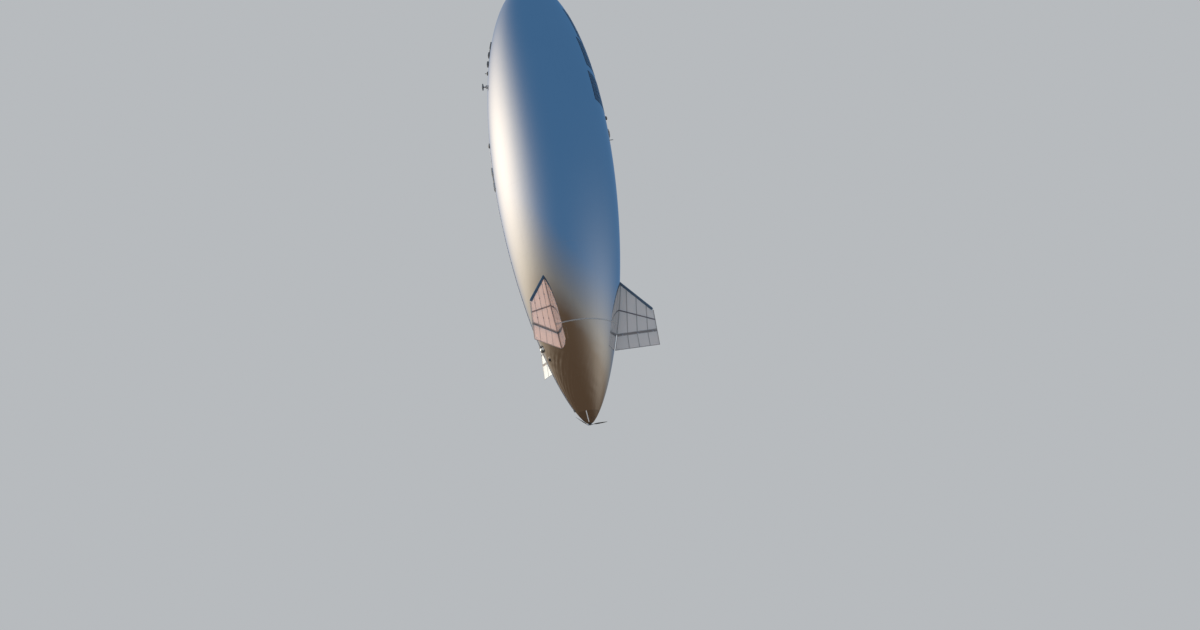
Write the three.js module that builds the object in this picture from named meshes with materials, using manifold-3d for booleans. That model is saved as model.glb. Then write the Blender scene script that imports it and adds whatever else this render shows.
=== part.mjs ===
// Uncrewed solar airship in its nose-up climb, as a 1:2 scale model.
// Millimetres. +Z runs along the hull's axis from tail to nose, +X points to the solar side (dorsal)
// and -Y to port. Geometry is drawn by station, the height above the tail tip, and the outer group
// then moves the centre of buoyancy to the origin.
import * as THREE from 'three';
import { mergeVertices } from 'three/addons/utils/BufferGeometryUtils.js';
import Module from 'manifold-3d';

const wasm = await Module();
wasm.setup();

// Hull: one smooth body of revolution, r = R (t/m)^a ((1-t)/(1-m))^b with its widest point at m
const HULL_LENGTH = 32500;
const HULL_RADIUS = 4004;
const TAIL_POWER = 0.688;
const NOSE_POWER = 0.508;
const WIDEST = TAIL_POWER / (TAIL_POWER + NOSE_POWER);
const BUOYANCY_STATION = 17600;
const FACETS = 60;
const WALL = 10;
const SEAT_GAP = 0.4;
const FACE_GAP = 0.3;

// Stations where the envelope is divided
const TAIL_RING = 750;
const SEAM = 5760;
const SEAM_BAND_HALF = 35;
const SEAM_BAND_THICKNESS = 6;
const NOSE_RING = 32350;
const TAIL_RINGS = 5;
const HULL_RINGS = 13;
const NOSE_RINGS = 3;
const NOSE_PAD_RADIUS = 180;
const NOSE_PAD = 32486;
const NOSE_FACE = 32680;

// Rigid tail cone, thruster and folding propeller
const CONE_END = 110;
const CONE_END_RADIUS = 166;
const CONE_STATIONS = [150, 240, 360, 530];
const CONE_WALL = 12;
const MOTOR_RADIUS = 100;
const MOTOR_FACE = 50;
const MOTOR_BORE = 92;
const SHAFT_RADIUS = 25;
const SHAFT_FIT = 0.5;
const HUB_TOP = 42;
const HUB_RADIUS = 88;
const SPINNER_DEPTH = 22;
const BLADE_PIN_REACH = 130;
const BLADE_PIN_STATION = 20;
const BLADE_PIN_RADIUS = 9;
const PIN_FIT = 0.5;
const BLADE_EYE_RADIUS = 24;
const BLADE_TONGUE = 24;
const FORK_CLEARANCE = 0.4;
const FORK_PLATE = 13;
const BLADE_LENGTH = 900;
const BLADE_FOLD = 42;
const PROPELLER_TURN = -8;

// Fins, an inverted Y, drawn with the span along +X
const FIN_LEADING_ROOT = 8760;
const FIN_LEADING_TIP = [4905, 6710];
const FIN_TRAILING_TIP = [4920, 4315];
const FIN_TRAILING_ROOT = 4325;
const FIN_SKIN_HALF = 30;
const FIN_RIB_HALF = 46;
const FIN_RIB_WIDTH = 56;
const LEADING_EDGE_CHORD = 95;
const LEADING_EDGE_HALF = 62;
const SPAR_ROOT = 7040;
const SPAR_TIP = 5940;
const HINGE = 5240;
const RUDDER_NOSE = 46;
const RUDDER_EDGE_HALF = 10;
const RUDDER_GAP = 12;
const RUDDER_ROOT_GAP = 45;
const HINGE_PIN_RADIUS = 12;
const HINGE_LUG_HALF = 24;
const HINGE_LUG_RADIUS = 24;
const HINGE_SIDE_GAP = 0.4;
const HINGE_SPANS = [2760, 3700, 4640];
// each rib as [span at the leading edge, span at the hinge line]
const RIBS = [[3460, 3060], [3980, 3660], [4510, 4310]];
const FINS = [['dorsal', 0], ['port', -120], ['starboard', 120]];

// Colours and finishes
const finish = (color, roughness, metalness) =>
  new THREE.MeshStandardMaterial({ color, roughness, metalness });
const FILM = finish(0xb8c4cf, 0.15, 1.0);
const TAPE = finish(0xd5d9dc, 0.35, 0.6);
const DARK_COMPOSITE = finish(0x2a2d30, 0.45, 0.1);
const SOLAR = finish(0x1a2535, 0.3, 0.2);
const FIN_CLOTH = finish(0xdad6cf, 0.7, 0.0);
const FIN_BLUE = finish(0x24467a, 0.5, 0.0);
const EQUIPMENT = finish(0x2f353b, 0.5, 0.2);
const WHITE_PLASTIC = finish(0xe4e5e3, 0.5, 0.0);
const ALLOY = finish(0xa7abae, 0.35, 0.9);

function hullRadius(station) {
  const t = Math.min(Math.max(station / HULL_LENGTH, 0), 1);
  return HULL_RADIUS * (t / WIDEST) ** TAIL_POWER * ((1 - t) / (1 - WIDEST)) ** NOSE_POWER;
}

function hullSlope(station) {
  const t = station / HULL_LENGTH;
  return hullRadius(station) * (TAIL_POWER / t - NOSE_POWER / (1 - t)) / HULL_LENGTH;
}

// A point of the hull's outline, moved out along its normal
function outline(station, offset) {
  const slope = hullSlope(station);
  const step = offset / Math.hypot(1, slope);
  return new THREE.Vector2(hullRadius(station) + step, station - slope * step);
}

function evenStations(from, to, count) {
  return Array.from({ length: count + 1 }, (_, i) => from + (to - from) * i / count);
}

// Stations that crowd towards the blunt end at `to`
function easedStations(from, to, count) {
  return Array.from({ length: count + 1 }, (_, i) => from + (to - from) * Math.sin(Math.PI / 2 * i / count));
}

const tailStations = evenStations(TAIL_RING, SEAM, TAIL_RINGS);
const hullStations = easedStations(SEAM, NOSE_RING, HULL_RINGS);
const noseStations = easedStations(NOSE_RING, HULL_LENGTH, NOSE_RINGS).slice(0, -1);

// Solids in and out of the boolean library
function toManifold(geometry) {
  const bare = geometry.clone();
  bare.deleteAttribute('normal');
  bare.deleteAttribute('uv');
  const merged = mergeVertices(bare, 1e-3);
  const corners = merged.index.array;
  const kept = [];
  for (let i = 0; i < corners.length; i += 3) {
    const [a, b, c] = corners.slice(i, i + 3);
    if (a !== b && b !== c && c !== a) kept.push(a, b, c);
  }
  const vertProperties = new Float32Array(merged.attributes.position.array);
  return new wasm.Manifold(new wasm.Mesh({ numProp: 3, vertProperties, triVerts: new Uint32Array(kept) }));
}

function toGeometry(solid) {
  const { vertProperties, triVerts } = solid.getMesh();
  const geometry = new THREE.BufferGeometry();
  geometry.setAttribute('position', new THREE.BufferAttribute(new Float32Array(vertProperties), 3));
  geometry.setIndex(new THREE.BufferAttribute(new Uint32Array(triVerts), 1));
  geometry.computeVertexNormals();
  return geometry;
}

const asSolid = (shape) => (shape.isBufferGeometry ? toManifold(shape) : shape);
const join = (...parts) => parts.map(asSolid).reduce((whole, part) => whole.add(part));
const cut = (body, ...tools) => tools.map(asSolid).reduce((rest, tool) => rest.subtract(tool), asSolid(body));
const overlap = (body, tool) => asSolid(body).intersect(asSolid(tool));

// A solid of revolution about +Z from [radius, station] points
function turned(points, sides = FACETS) {
  const profile = points.map((p) => (p instanceof THREE.Vector2 ? p : new THREE.Vector2(...p)));
  return new THREE.LatheGeometry(profile, sides).rotateX(Math.PI / 2);
}

// A wall of revolution: the outline's outer side, and back along its inner side
function shell(stations, outer, inner) {
  const outside = stations.map((s) => outline(s, outer));
  const inside = stations.map((s) => outline(s, inner)).reverse();
  return turned([...outside, ...inside, outside[0]]);
}

// The filled hull from cone to nose ring, grown by an offset, with the shells' own facets
function hullSolid(offset) {
  const stations = [...tailStations, ...hullStations.slice(1)];
  const outside = stations.map((s) => outline(s, offset));
  return turned([[0, outside[0].y], ...outside, [0, outside.at(-1).y]]);
}

function block([x0, x1], [y0, y1], [z0, z1]) {
  const geometry = new THREE.BoxGeometry(x1 - x0, y1 - y0, z1 - z0);
  return geometry.translate((x0 + x1) / 2, (y0 + y1) / 2, (z0 + z1) / 2);
}

// A cylinder along X, Y or Z between two values of that axis
function rod(axis, from, to, radius, sides = 16) {
  const geometry = new THREE.CylinderGeometry(radius, radius, to - from, sides);
  if (axis === 'x') geometry.rotateZ(-Math.PI / 2);
  if (axis === 'z') geometry.rotateX(Math.PI / 2);
  const middle = (from + to) / 2;
  const along = { x: [middle, 0, 0], y: [0, middle, 0], z: [0, 0, middle] };
  return geometry.translate(...along[axis]);
}

// A flat plate from an outline in X (span) and Z (station), centred on Y = 0
function plate(points, halfThickness) {
  const shape = new THREE.Shape(points.map(([x, z]) => new THREE.Vector2(x, z)));
  const geometry = new THREE.ExtrudeGeometry(shape, { depth: 2 * halfThickness, bevelEnabled: false });
  return geometry.rotateX(Math.PI / 2).translate(0, halfThickness, 0);
}

// A straight bar in the fin's plane between two [span, station] points
function bar([x0, z0], [x1, z1], width, halfThickness) {
  const length = Math.hypot(x1 - x0, z1 - z0);
  const across = [(z0 - z1) / length * width / 2, (x1 - x0) / length * width / 2];
  const corners = [[x0 + across[0], z0 + across[1]], [x1 + across[0], z1 + across[1]],
    [x1 - across[0], z1 - across[1]], [x0 - across[0], z0 - across[1]]];
  return plate(corners, halfThickness);
}

const between = ([x0, z0], [x1, z1], k) => [x0 + (x1 - x0) * k, z0 + (z1 - z0) * k];
const atStation = (a, b, station) => between(a, b, (station - a[1]) / (b[1] - a[1]));

const keepOut = hullSolid(SEAT_GAP);
const aroundSeam = (half) =>
  block([-HULL_RADIUS, HULL_RADIUS], [-HULL_RADIUS, HULL_RADIUS], [SEAM - half, SEAM + half]);
const seamBandKeepOut = overlap(hullSolid(SEAM_BAND_THICKNESS + SEAT_GAP), aroundSeam(SEAM_BAND_HALF + SEAT_GAP));

// Shapes drawn with X out of the hull and Z forward along it, set on the hull at a station
function seated(station, ...shapes) {
  const placed = shapes.map((shape) => {
    const turnedShape = shape.clone().rotateY(Math.atan(hullSlope(station)));
    return turnedShape.translate(hullRadius(station), 0, station);
  });
  return cut(join(...placed), keepOut);
}

// A layer on the hull's skin, as far as a cutting block reaches
function skinPatch(thickness, ...cutters) {
  return overlap(cut(hullSolid(thickness), keepOut), join(...cutters));
}

const airship = new THREE.Group();
const hullFrame = new THREE.Group();
hullFrame.position.z = -BUOYANCY_STATION;
airship.add(hullFrame);

function addNode(name, shape, material, azimuth = 0, parent = hullFrame) {
  const mesh = new THREE.Mesh(toGeometry(asSolid(shape)), material);
  mesh.name = name;
  mesh.rotation.z = THREE.MathUtils.degToRad(azimuth);
  parent.add(mesh);
  return mesh;
}

// Envelope
function addEnvelope() {
  const aft = tailStations.with(-1, SEAM - FACE_GAP);
  addNode('envelope_tail', shell(aft, 0, -WALL), FILM);
  addNode('envelope_hull', shell(hullStations, 0, -WALL), FILM);
  addNode('seam_band', skinPatch(SEAM_BAND_THICKNESS, aroundSeam(SEAM_BAND_HALF)), TAPE);
}

// Nose: a rigid dish and its mooring spindle
function addNose() {
  const dishStations = noseStations.with(0, NOSE_RING + FACE_GAP);
  const outside = dishStations.map((s) => outline(s, 0));
  const inside = dishStations.map((s) => outline(s, -WALL)).reverse();
  const dish = turned([...outside, [NOSE_PAD_RADIUS, NOSE_PAD], [0, NOSE_PAD], [0, NOSE_PAD - 1.5 * WALL],
    [NOSE_PAD_RADIUS, NOSE_PAD - 1.5 * WALL], ...inside, outside[0]]);
  addNode('nose_dish', dish, ALLOY);
  const seat = NOSE_PAD + FACE_GAP;
  const spindle = turned([[0, seat], [168, seat], [168, seat + 22], [150, seat + 32], [52, seat + 32],
    [52, seat + 150], [78, seat + 150], [78, NOSE_FACE], [0, NOSE_FACE]], 24);
  addNode('nose_spindle', spindle, ALLOY);
}

// Tail: cone, thruster and propeller
function addTailCone() {
  const stations = [...CONE_STATIONS, TAIL_RING - FACE_GAP];
  const outside = stations.map((s) => outline(s, 0));
  const inside = stations.map((s) => outline(s, -CONE_WALL)).reverse();
  const cone = turned([[0, CONE_END], [CONE_END_RADIUS, CONE_END], ...outside,
    ...inside, [0, inside.at(-1).y]]);
  addNode('tail_cone', cone, DARK_COMPOSITE);
  const bore = SHAFT_RADIUS + SHAFT_FIT;
  const top = CONE_END - FACE_GAP;
  const motor = turned([[0, MOTOR_BORE], [bore, MOTOR_BORE], [bore, MOTOR_FACE], [MOTOR_RADIUS - 12, MOTOR_FACE],
    [MOTOR_RADIUS, MOTOR_FACE + 12], [MOTOR_RADIUS, top], [0, top]], 24);
  addNode('tail_motor', motor, EQUIPMENT);
}

const propeller = new THREE.Group();
propeller.rotation.z = THREE.MathUtils.degToRad(PROPELLER_TURN);
hullFrame.add(propeller);

function addPropellerHub() {
  const body = turned([[0, -SPINNER_DEPTH], [34, -SPINNER_DEPTH + 5], [66, -6], [HUB_RADIUS, 12],
    [HUB_RADIUS, HUB_TOP], [SHAFT_RADIUS, HUB_TOP], [SHAFT_RADIUS, MOTOR_BORE - 6], [0, MOTOR_BORE - 6]], 24);
  const inside = BLADE_TONGUE / 2 + FORK_CLEARANCE;
  const outside = inside + FORK_PLATE;
  const half = BLADE_EYE_RADIUS;
  const parts = [body];
  for (const side of [-1, 1]) {
    for (const cheek of [-1, 1]) {
      const y = [cheek * inside, cheek * outside].sort((a, b) => a - b);
      const x = [side * 60, side * BLADE_PIN_REACH].sort((a, b) => a - b);
      const z = [BLADE_PIN_STATION - half, BLADE_PIN_STATION + half];
      const eye = rod('y', y[0], y[1], half).translate(side * BLADE_PIN_REACH, 0, BLADE_PIN_STATION);
      parts.push(block(x, y, z), eye);
    }
    const pin = rod('y', -outside, outside, BLADE_PIN_RADIUS);
    parts.push(pin.translate(side * BLADE_PIN_REACH, 0, BLADE_PIN_STATION));
  }
  addNode('propeller_hub', join(...parts), EQUIPMENT, 0, propeller);
}

// One blade along +X with its eye on the origin: columns are [span, chord, thickness, pitch in degrees]
const BLADE_SECTIONS = [[62, 34, 22, 0], [150, 70, 20, -34], [330, 124, 17, -27], [560, 118, 12, -20],
  [760, 92, 9, -16], [870, 58, 6, -14], [BLADE_LENGTH, 26, 4, -13]];
const SECTION_SIDES = 12;

function bladeLoft() {
  const positions = [];
  const index = [];
  for (const [span, chord, thickness, pitch] of BLADE_SECTIONS) {
    const tilt = THREE.MathUtils.degToRad(pitch);
    for (let i = 0; i < SECTION_SIDES; i++) {
      const turn = 2 * Math.PI * i / SECTION_SIDES;
      const y = chord / 2 * Math.cos(turn);
      const z = thickness / 2 * Math.sin(turn);
      positions.push(span, y * Math.cos(tilt) - z * Math.sin(tilt), y * Math.sin(tilt) + z * Math.cos(tilt));
    }
  }
  const last = (BLADE_SECTIONS.length - 1) * SECTION_SIDES;
  for (let i = 0; i < SECTION_SIDES; i++) {
    const next = (i + 1) % SECTION_SIDES;
    for (let ring = 0; ring < last; ring += SECTION_SIDES) {
      index.push(ring + i, ring + next, ring + SECTION_SIDES + i);
      index.push(ring + next, ring + SECTION_SIDES + next, ring + SECTION_SIDES + i);
    }
    if (i > 0 && i < SECTION_SIDES - 1) {
      index.push(0, i + 1, i);
      index.push(last, last + i, last + i + 1);
    }
  }
  const geometry = new THREE.BufferGeometry();
  geometry.setAttribute('position', new THREE.Float32BufferAttribute(positions, 3));
  geometry.setIndex(index);
  return geometry;
}

function addBlades() {
  const half = BLADE_TONGUE / 2;
  const eye = rod('y', -half, half, BLADE_EYE_RADIUS - 2);
  const tongue = block([0, 75], [-half, half], [-14, 14]);
  const hole = rod('y', -2 * half, 2 * half, BLADE_PIN_RADIUS + PIN_FIT);
  const blade = cut(join(eye, tongue, bladeLoft()), hole);
  for (const [name, turn, fold] of [['blade_open', 0, 0], ['blade_folded', 180, BLADE_FOLD]]) {
    const side = new THREE.Group();
    side.rotation.z = THREE.MathUtils.degToRad(turn);
    const hinge = new THREE.Group();
    hinge.position.set(BLADE_PIN_REACH, 0, BLADE_PIN_STATION);
    hinge.rotation.y = -THREE.MathUtils.degToRad(fold);
    propeller.add(side.add(hinge));
    addNode(name, blade, DARK_COMPOSITE, 0, hinge);
  }
}

// Fins
const finRootPoint = (station) => [hullRadius(station) - 400, station];
const leadingRoot = [hullRadius(FIN_LEADING_ROOT), FIN_LEADING_ROOT];
const onLeadingEdge = (span) => between(leadingRoot, FIN_LEADING_TIP,
  (span - leadingRoot[0]) / (FIN_LEADING_TIP[0] - leadingRoot[0]));

const leadingHeading = Math.atan2(FIN_LEADING_TIP[0] - leadingRoot[0], FIN_LEADING_TIP[1] - leadingRoot[1]);
const inward = [Math.cos(leadingHeading) * LEADING_EDGE_CHORD, -Math.sin(leadingHeading) * LEADING_EDGE_CHORD];

// The dark leading edge: a flattened tube whose front lies on the leading edge line
function leadingEdgeTube(grow) {
  const start = between(leadingRoot, FIN_LEADING_TIP, -0.25);
  const end = between(leadingRoot, FIN_LEADING_TIP, 1.15);
  const length = Math.hypot(end[0] - start[0], end[1] - start[1]);
  const tube = new THREE.CylinderGeometry(1, 1, length, 16);
  tube.scale(LEADING_EDGE_CHORD + grow, 1, LEADING_EDGE_HALF + grow);
  tube.rotateX(Math.PI / 2);
  tube.rotateY(leadingHeading);
  return tube.translate((start[0] + end[0]) / 2 + inward[0], 0, (start[1] + end[1]) / 2 + inward[1]);
}

const tipLine = [FIN_LEADING_TIP, FIN_TRAILING_TIP];
const finOutline = [between(leadingRoot, FIN_LEADING_TIP, -0.3), FIN_LEADING_TIP, FIN_TRAILING_TIP,
  finRootPoint(FIN_TRAILING_ROOT)];
const forwardOf = (station) => block([0, 6000], [-200, 200], [station, 12000]);

function finPanel() {
  const skin = plate(finOutline, FIN_SKIN_HALF);
  const rearSpar = HINGE + RUDDER_NOSE + RUDDER_GAP;
  const members = [
    bar(finRootPoint(SPAR_ROOT), atStation(...tipLine, SPAR_TIP), FIN_RIB_WIDTH, FIN_RIB_HALF),
    bar([1800, rearSpar + 40], [4925, rearSpar + 40], 80, FIN_RIB_HALF),
    bar(...tipLine.map(([x, z]) => [x - FIN_RIB_WIDTH / 2, z]), FIN_RIB_WIDTH, FIN_RIB_HALF),
    ...RIBS.map(([fore, aft]) => bar(onLeadingEdge(fore), [aft, HINGE], FIN_RIB_WIDTH, FIN_RIB_HALF)),
  ];
  const body = overlap(join(skin, ...members), plate(finOutline, 2 * FIN_RIB_HALF));
  const trimmed = cut(overlap(body, forwardOf(rearSpar)), keepOut, seamBandKeepOut,
    leadingEdgeTube(FACE_GAP), noseOfFin());
  const lugs = HINGE_SPANS.flatMap((span) => {
    const x = [span - HINGE_LUG_HALF, span + HINGE_LUG_HALF];
    const eye = rod('x', x[0], x[1], HINGE_LUG_RADIUS).translate(0, 0, HINGE);
    return [eye, block(x, [-HINGE_LUG_RADIUS, HINGE_LUG_RADIUS], [HINGE, rearSpar + 20])];
  });
  const bore = rod('x', 2000, 5500, HINGE_PIN_RADIUS + PIN_FIT).translate(0, 0, HINGE);
  return cut(join(trimmed, ...lugs), bore);
}

// Everything ahead of the leading edge tube's middle line
function noseOfFin() {
  const root = between(leadingRoot, FIN_LEADING_TIP, -0.5);
  const tip = between(leadingRoot, FIN_LEADING_TIP, 1.3);
  const shifted = ([x, z], k) => [x + inward[0] * k, z + inward[1] * k];
  return plate([shifted(root, 1), shifted(tip, 1), shifted(tip, -8), shifted(root, -8)], 3 * FIN_RIB_HALF);
}

function finLeadingEdge() {
  const tipCut = plate([[0, 3000], [...FIN_TRAILING_TIP], FIN_LEADING_TIP,
    between(FIN_TRAILING_TIP, FIN_LEADING_TIP, 1.3), [0, 12000]], 3 * LEADING_EDGE_HALF);
  return cut(overlap(leadingEdgeTube(0), tipCut), keepOut);
}

function rudder() {
  const profile = new THREE.Shape();
  profile.moveTo(-RUDDER_EDGE_HALF, FIN_TRAILING_TIP[1] - 20);
  profile.lineTo(RUDDER_EDGE_HALF, FIN_TRAILING_TIP[1] - 20);
  profile.lineTo(RUDDER_NOSE, HINGE);
  profile.absarc(0, HINGE, RUDDER_NOSE, 0, Math.PI, false);
  profile.lineTo(-RUDDER_EDGE_HALF, FIN_TRAILING_TIP[1] - 20);
  const wedge = new THREE.ExtrudeGeometry(profile, { depth: 4000, bevelEnabled: false, curveSegments: 8 });
  wedge.rotateX(Math.PI / 2).rotateZ(Math.PI / 2).translate(1500, 0, 0);
  const planform = plate([[1500, FIN_TRAILING_ROOT], [FIN_TRAILING_TIP[0], FIN_TRAILING_TIP[1]],
    atStation(...tipLine, HINGE + RUDDER_NOSE), [1500, HINGE + RUDDER_NOSE + 5]], 200);
  const blank = cut(overlap(wedge, planform), hullSolid(RUDDER_ROOT_GAP));
  const slots = HINGE_SPANS.map((span) => {
    const half = HINGE_LUG_HALF + HINGE_SIDE_GAP;
    return block([span - half, span + half], [-200, 200], [HINGE - HINGE_LUG_RADIUS - 8, HINGE + 200]);
  });
  const pins = HINGE_SPANS.map((span) => {
    const half = HINGE_LUG_HALF + 30;
    return rod('x', span - half, span + half, HINGE_PIN_RADIUS).translate(0, 0, HINGE);
  });
  return join(cut(blank, ...slots), ...pins);
}

function addFins() {
  const panel = finPanel();
  const edge = finLeadingEdge();
  const flap = rudder();
  for (const [side, azimuth] of FINS) {
    addNode(`fin_${side}_panel`, panel, FIN_CLOTH, azimuth);
    addNode(`fin_${side}_leading_edge`, edge, FIN_BLUE, azimuth);
    addNode(`rudder_${side}`, flap, FIN_CLOTH, azimuth);
  }
}

// Solar blocks: columns are name, from station, to station and half width
const SOLAR_BLOCKS = [
  ['solar_forward', 26420, 28950, 1650],
  ['solar_middle', 23800, 26170, 2020],
  ['solar_aft', 20920, 23240, 2150],
];
const SOLAR_THICKNESS = 12;

function addSolarBlocks() {
  for (const [name, from, to, half] of SOLAR_BLOCKS) {
    addNode(name, skinPatch(SOLAR_THICKNESS, block([0, 5000], [-half, half], [from, to])), SOLAR);
  }
}

// A box with chamfered edges, standing out of the hull along X
function housing(length, width, height, chamfer = 30) {
  const w = width / 2 - chamfer;
  const l = length / 2 - chamfer;
  const shape = new THREE.Shape([[-w, -l], [w, -l], [w, l], [-w, l]].map((p) => new THREE.Vector2(...p)));
  const settings = { depth: height + 250, bevelThickness: chamfer, bevelSize: chamfer, bevelSegments: 1 };
  const geometry = new THREE.ExtrudeGeometry(shape, settings);
  geometry.rotateX(Math.PI / 2).rotateZ(Math.PI / 2);
  geometry.computeBoundingBox();
  return geometry.translate(height - geometry.boundingBox.max.x, 0, 0);
}

// Boxes on the hull: columns are name, station, azimuth, length, width, height and finish
const HOUSINGS = [
  ['payload_box_1', 27760, 180, 550, 380, 145, EQUIPMENT],
  ['payload_box_2', 27035, 180, 310, 360, 175, EQUIPMENT],
  ['payload_box_3', 26290, 180, 300, 360, 175, EQUIPMENT],
  ['antenna_base', 24440, 180, 200, 200, 147, EQUIPMENT],
  ['power_box_1', 17650, 180, 530, 560, 95, EQUIPMENT],
  ['power_box_2', 17070, 180, 300, 460, 60, EQUIPMENT],
  ['power_box_3', 16580, 180, 490, 460, 80, EQUIPMENT],
  ['beacon', 20780, 0, 220, 170, 150, DARK_COMPOSITE],
  ['tail_blower', 4900, -168, 400, 240, 130, WHITE_PLASTIC],
];

function addHousings() {
  for (const [name, station, azimuth, length, width, height, material] of HOUSINGS) {
    addNode(name, seated(station, housing(length, width, height)), material, azimuth);
  }
}

// Payload dome, and the aft pod
function addPods() {
  const dome = turned([[0, -120], [165, -120], [165, 40], [152, 92], [114, 132], [62, 156], [0, 166]], 20);
  addNode('payload_dome', seated(25530, dome.rotateY(Math.PI / 2)), EQUIPMENT, 180);
  const pod = new THREE.CapsuleGeometry(125, 110, 4, 16).rotateX(Math.PI / 2).scale(1, 1.2, 1);
  addNode('aft_pod', seated(19740, pod), EQUIPMENT, 180);
}

// Flat plate aerial held off the belly on a strut
const PLATE_STATION = 24440;
const PLATE_REACH = 400;

function addPlateAntenna() {
  const base = 147;
  const plateBack = PLATE_REACH - 80;
  const strut = [rod('x', base + FACE_GAP, plateBack - FACE_GAP, 30), rod('x', base + FACE_GAP, base + 20, 66),
    rod('x', plateBack - 20, plateBack - FACE_GAP, 66)];
  addNode('antenna_strut', seated(PLATE_STATION, ...strut), ALLOY, 180);
  const face = block([plateBack, PLATE_REACH], [-170, 170], [-185, 185]);
  addNode('antenna_plate', seated(PLATE_STATION, face), EQUIPMENT, 180);
}

// Raceways lie on the skin: columns are name, from station, to station, half width, thickness
const RACEWAYS = [
  ['keel_raceway', 17925, 19540, 45, 40],
  ['keel_conduit', 1040, 16320, 24, 34],
];
const KEEL_BRACKET = [890, 1039];

function addKeel() {
  for (const [name, from, to, half, thickness] of RACEWAYS) {
    const cutter = block([0, 5000], [-half, half], [from, to]);
    addNode(name, cut(skinPatch(thickness, cutter), seamBandKeepOut), EQUIPMENT, 180);
  }
  const cutter = block([0, 5000], [-75, 75], KEEL_BRACKET);
  addNode('keel_bracket', skinPatch(60, cutter), EQUIPMENT, 180);
}

// Fittings on the back and near the tail
function addFittings() {
  const valve = turned([[0, -80], [340, -80], [340, 34], [310, 48], [215, 48], [195, 98], [0, 98]], 24);
  addNode('gas_valve', seated(19520, valve.rotateY(Math.PI / 2)), ALLOY, 0);
  const aerial = turned([[0, -80], [60, -80], [60, 18], [30, 40], [26, 256], [0, 256]], 16);
  addNode('whip_aerial', seated(19040, aerial.rotateY(Math.PI / 2)), DARK_COMPOSITE, 0);
  const port = turned([[0, -80], [95, -80], [95, 26], [70, 40], [0, 40]], 24);
  addNode('tail_port', seated(4060, port.rotateY(Math.PI / 2)), DARK_COMPOSITE, -156);
}

addEnvelope();
addNose();
addTailCone();
addPropellerHub();
addBlades();
addFins();
addSolarBlocks();
addHousings();
addPods();
addPlateAntenna();
addKeel();
addFittings();

export default airship;
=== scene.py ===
import math

import bmesh
import bpy
import numpy as np
from mathutils import Matrix, Vector


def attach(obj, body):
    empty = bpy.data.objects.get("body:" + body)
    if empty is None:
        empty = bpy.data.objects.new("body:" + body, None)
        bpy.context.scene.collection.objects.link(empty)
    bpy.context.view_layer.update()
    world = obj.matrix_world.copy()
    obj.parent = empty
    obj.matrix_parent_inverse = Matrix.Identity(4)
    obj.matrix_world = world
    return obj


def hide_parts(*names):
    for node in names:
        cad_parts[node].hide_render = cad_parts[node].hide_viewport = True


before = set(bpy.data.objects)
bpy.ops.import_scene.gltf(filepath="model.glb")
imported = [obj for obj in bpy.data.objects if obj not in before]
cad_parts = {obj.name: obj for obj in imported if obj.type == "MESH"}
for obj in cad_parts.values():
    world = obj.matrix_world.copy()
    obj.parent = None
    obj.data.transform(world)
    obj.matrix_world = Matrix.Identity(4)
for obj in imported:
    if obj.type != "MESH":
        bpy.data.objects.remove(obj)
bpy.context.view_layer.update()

# The hull's outline, r = R (t/m)^a ((1-t)/(1-m))^b, and where it is divided
HULL_LENGTH = 32.5
HULL_RADIUS = 4.004
TAIL_POWER = 0.688
NOSE_POWER = 0.508
WIDEST = TAIL_POWER / (TAIL_POWER + NOSE_POWER)
BUOYANCY_STATION = 17.6
TAIL_RING = 0.75
SEAM = 5.76
NOSE_RING = 32.35
WALL = 0.010
FACE_GAP = 0.0003
GORES = 24
PANEL_SEAM_SPACING = 4.67
SIDES = 10 * GORES
TAPE_WIDTH = 0.020

BACK = 0.0
BELLY = math.pi
FIN_AZIMUTHS = {"dorsal": 0.0, "port": -120.0, "starboard": 120.0}

# Where single fittings sit
BEACON_STATION = 20.78
VALVE_STATION = 19.52
AERIAL_STATION = 19.04
DOME_STATION = 25.53
ANTENNA_STATION = 24.44
POD_STATION = 19.74
BRACKET_STATION = 0.9645
BLOWER_STATION = 4.90
BLOWER_AZIMUTH = math.radians(-168)
PORT_STATION = 4.06
PORT_AZIMUTH = math.radians(-156)


def hull_radius(station):
    t = np.clip(np.asarray(station, float) / HULL_LENGTH, 0, 1)
    return HULL_RADIUS * (t / WIDEST) ** TAIL_POWER * ((1 - t) / (1 - WIDEST)) ** NOSE_POWER


def hull_slope(station):
    t = np.asarray(station, float) / HULL_LENGTH
    return hull_radius(station) * (TAIL_POWER / t - NOSE_POWER / (1 - t)) / HULL_LENGTH


def on_skin(station, azimuth, lift=0.0):
    """Points over the hull's skin, lifted along its normal. Station, azimuth and lift may be arrays."""
    station, azimuth, lift = np.broadcast_arrays(*(np.asarray(v, float) for v in (station, azimuth, lift)))
    slope = hull_slope(station)
    step = lift / np.hypot(1, slope)
    radius = hull_radius(station) + step
    height = station - slope * step - BUOYANCY_STATION
    return np.stack([radius * np.cos(azimuth), radius * np.sin(azimuth), height], axis=-1)


def shift(x, y, z):
    return Matrix.Translation((x, y, z))


def spin(turn, axis="Z"):
    return Matrix.Rotation(turn, 4, axis)


def up_axis(station):
    return shift(0, 0, station - BUOYANCY_STATION)


def ring_spots(count, radius, height, first=0.0):
    """Places evenly round local Z. First is how far round the first lies, in steps."""
    turns = [2 * math.pi * (index + first) / count for index in range(count)]
    return [shift(radius * math.cos(turn), radius * math.sin(turn), height) for turn in turns]


def corner_spots(x, y, height):
    return [shift(sx * x, sy * y, height) for sx in (-1, 1) for sy in (-1, 1)]


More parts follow.
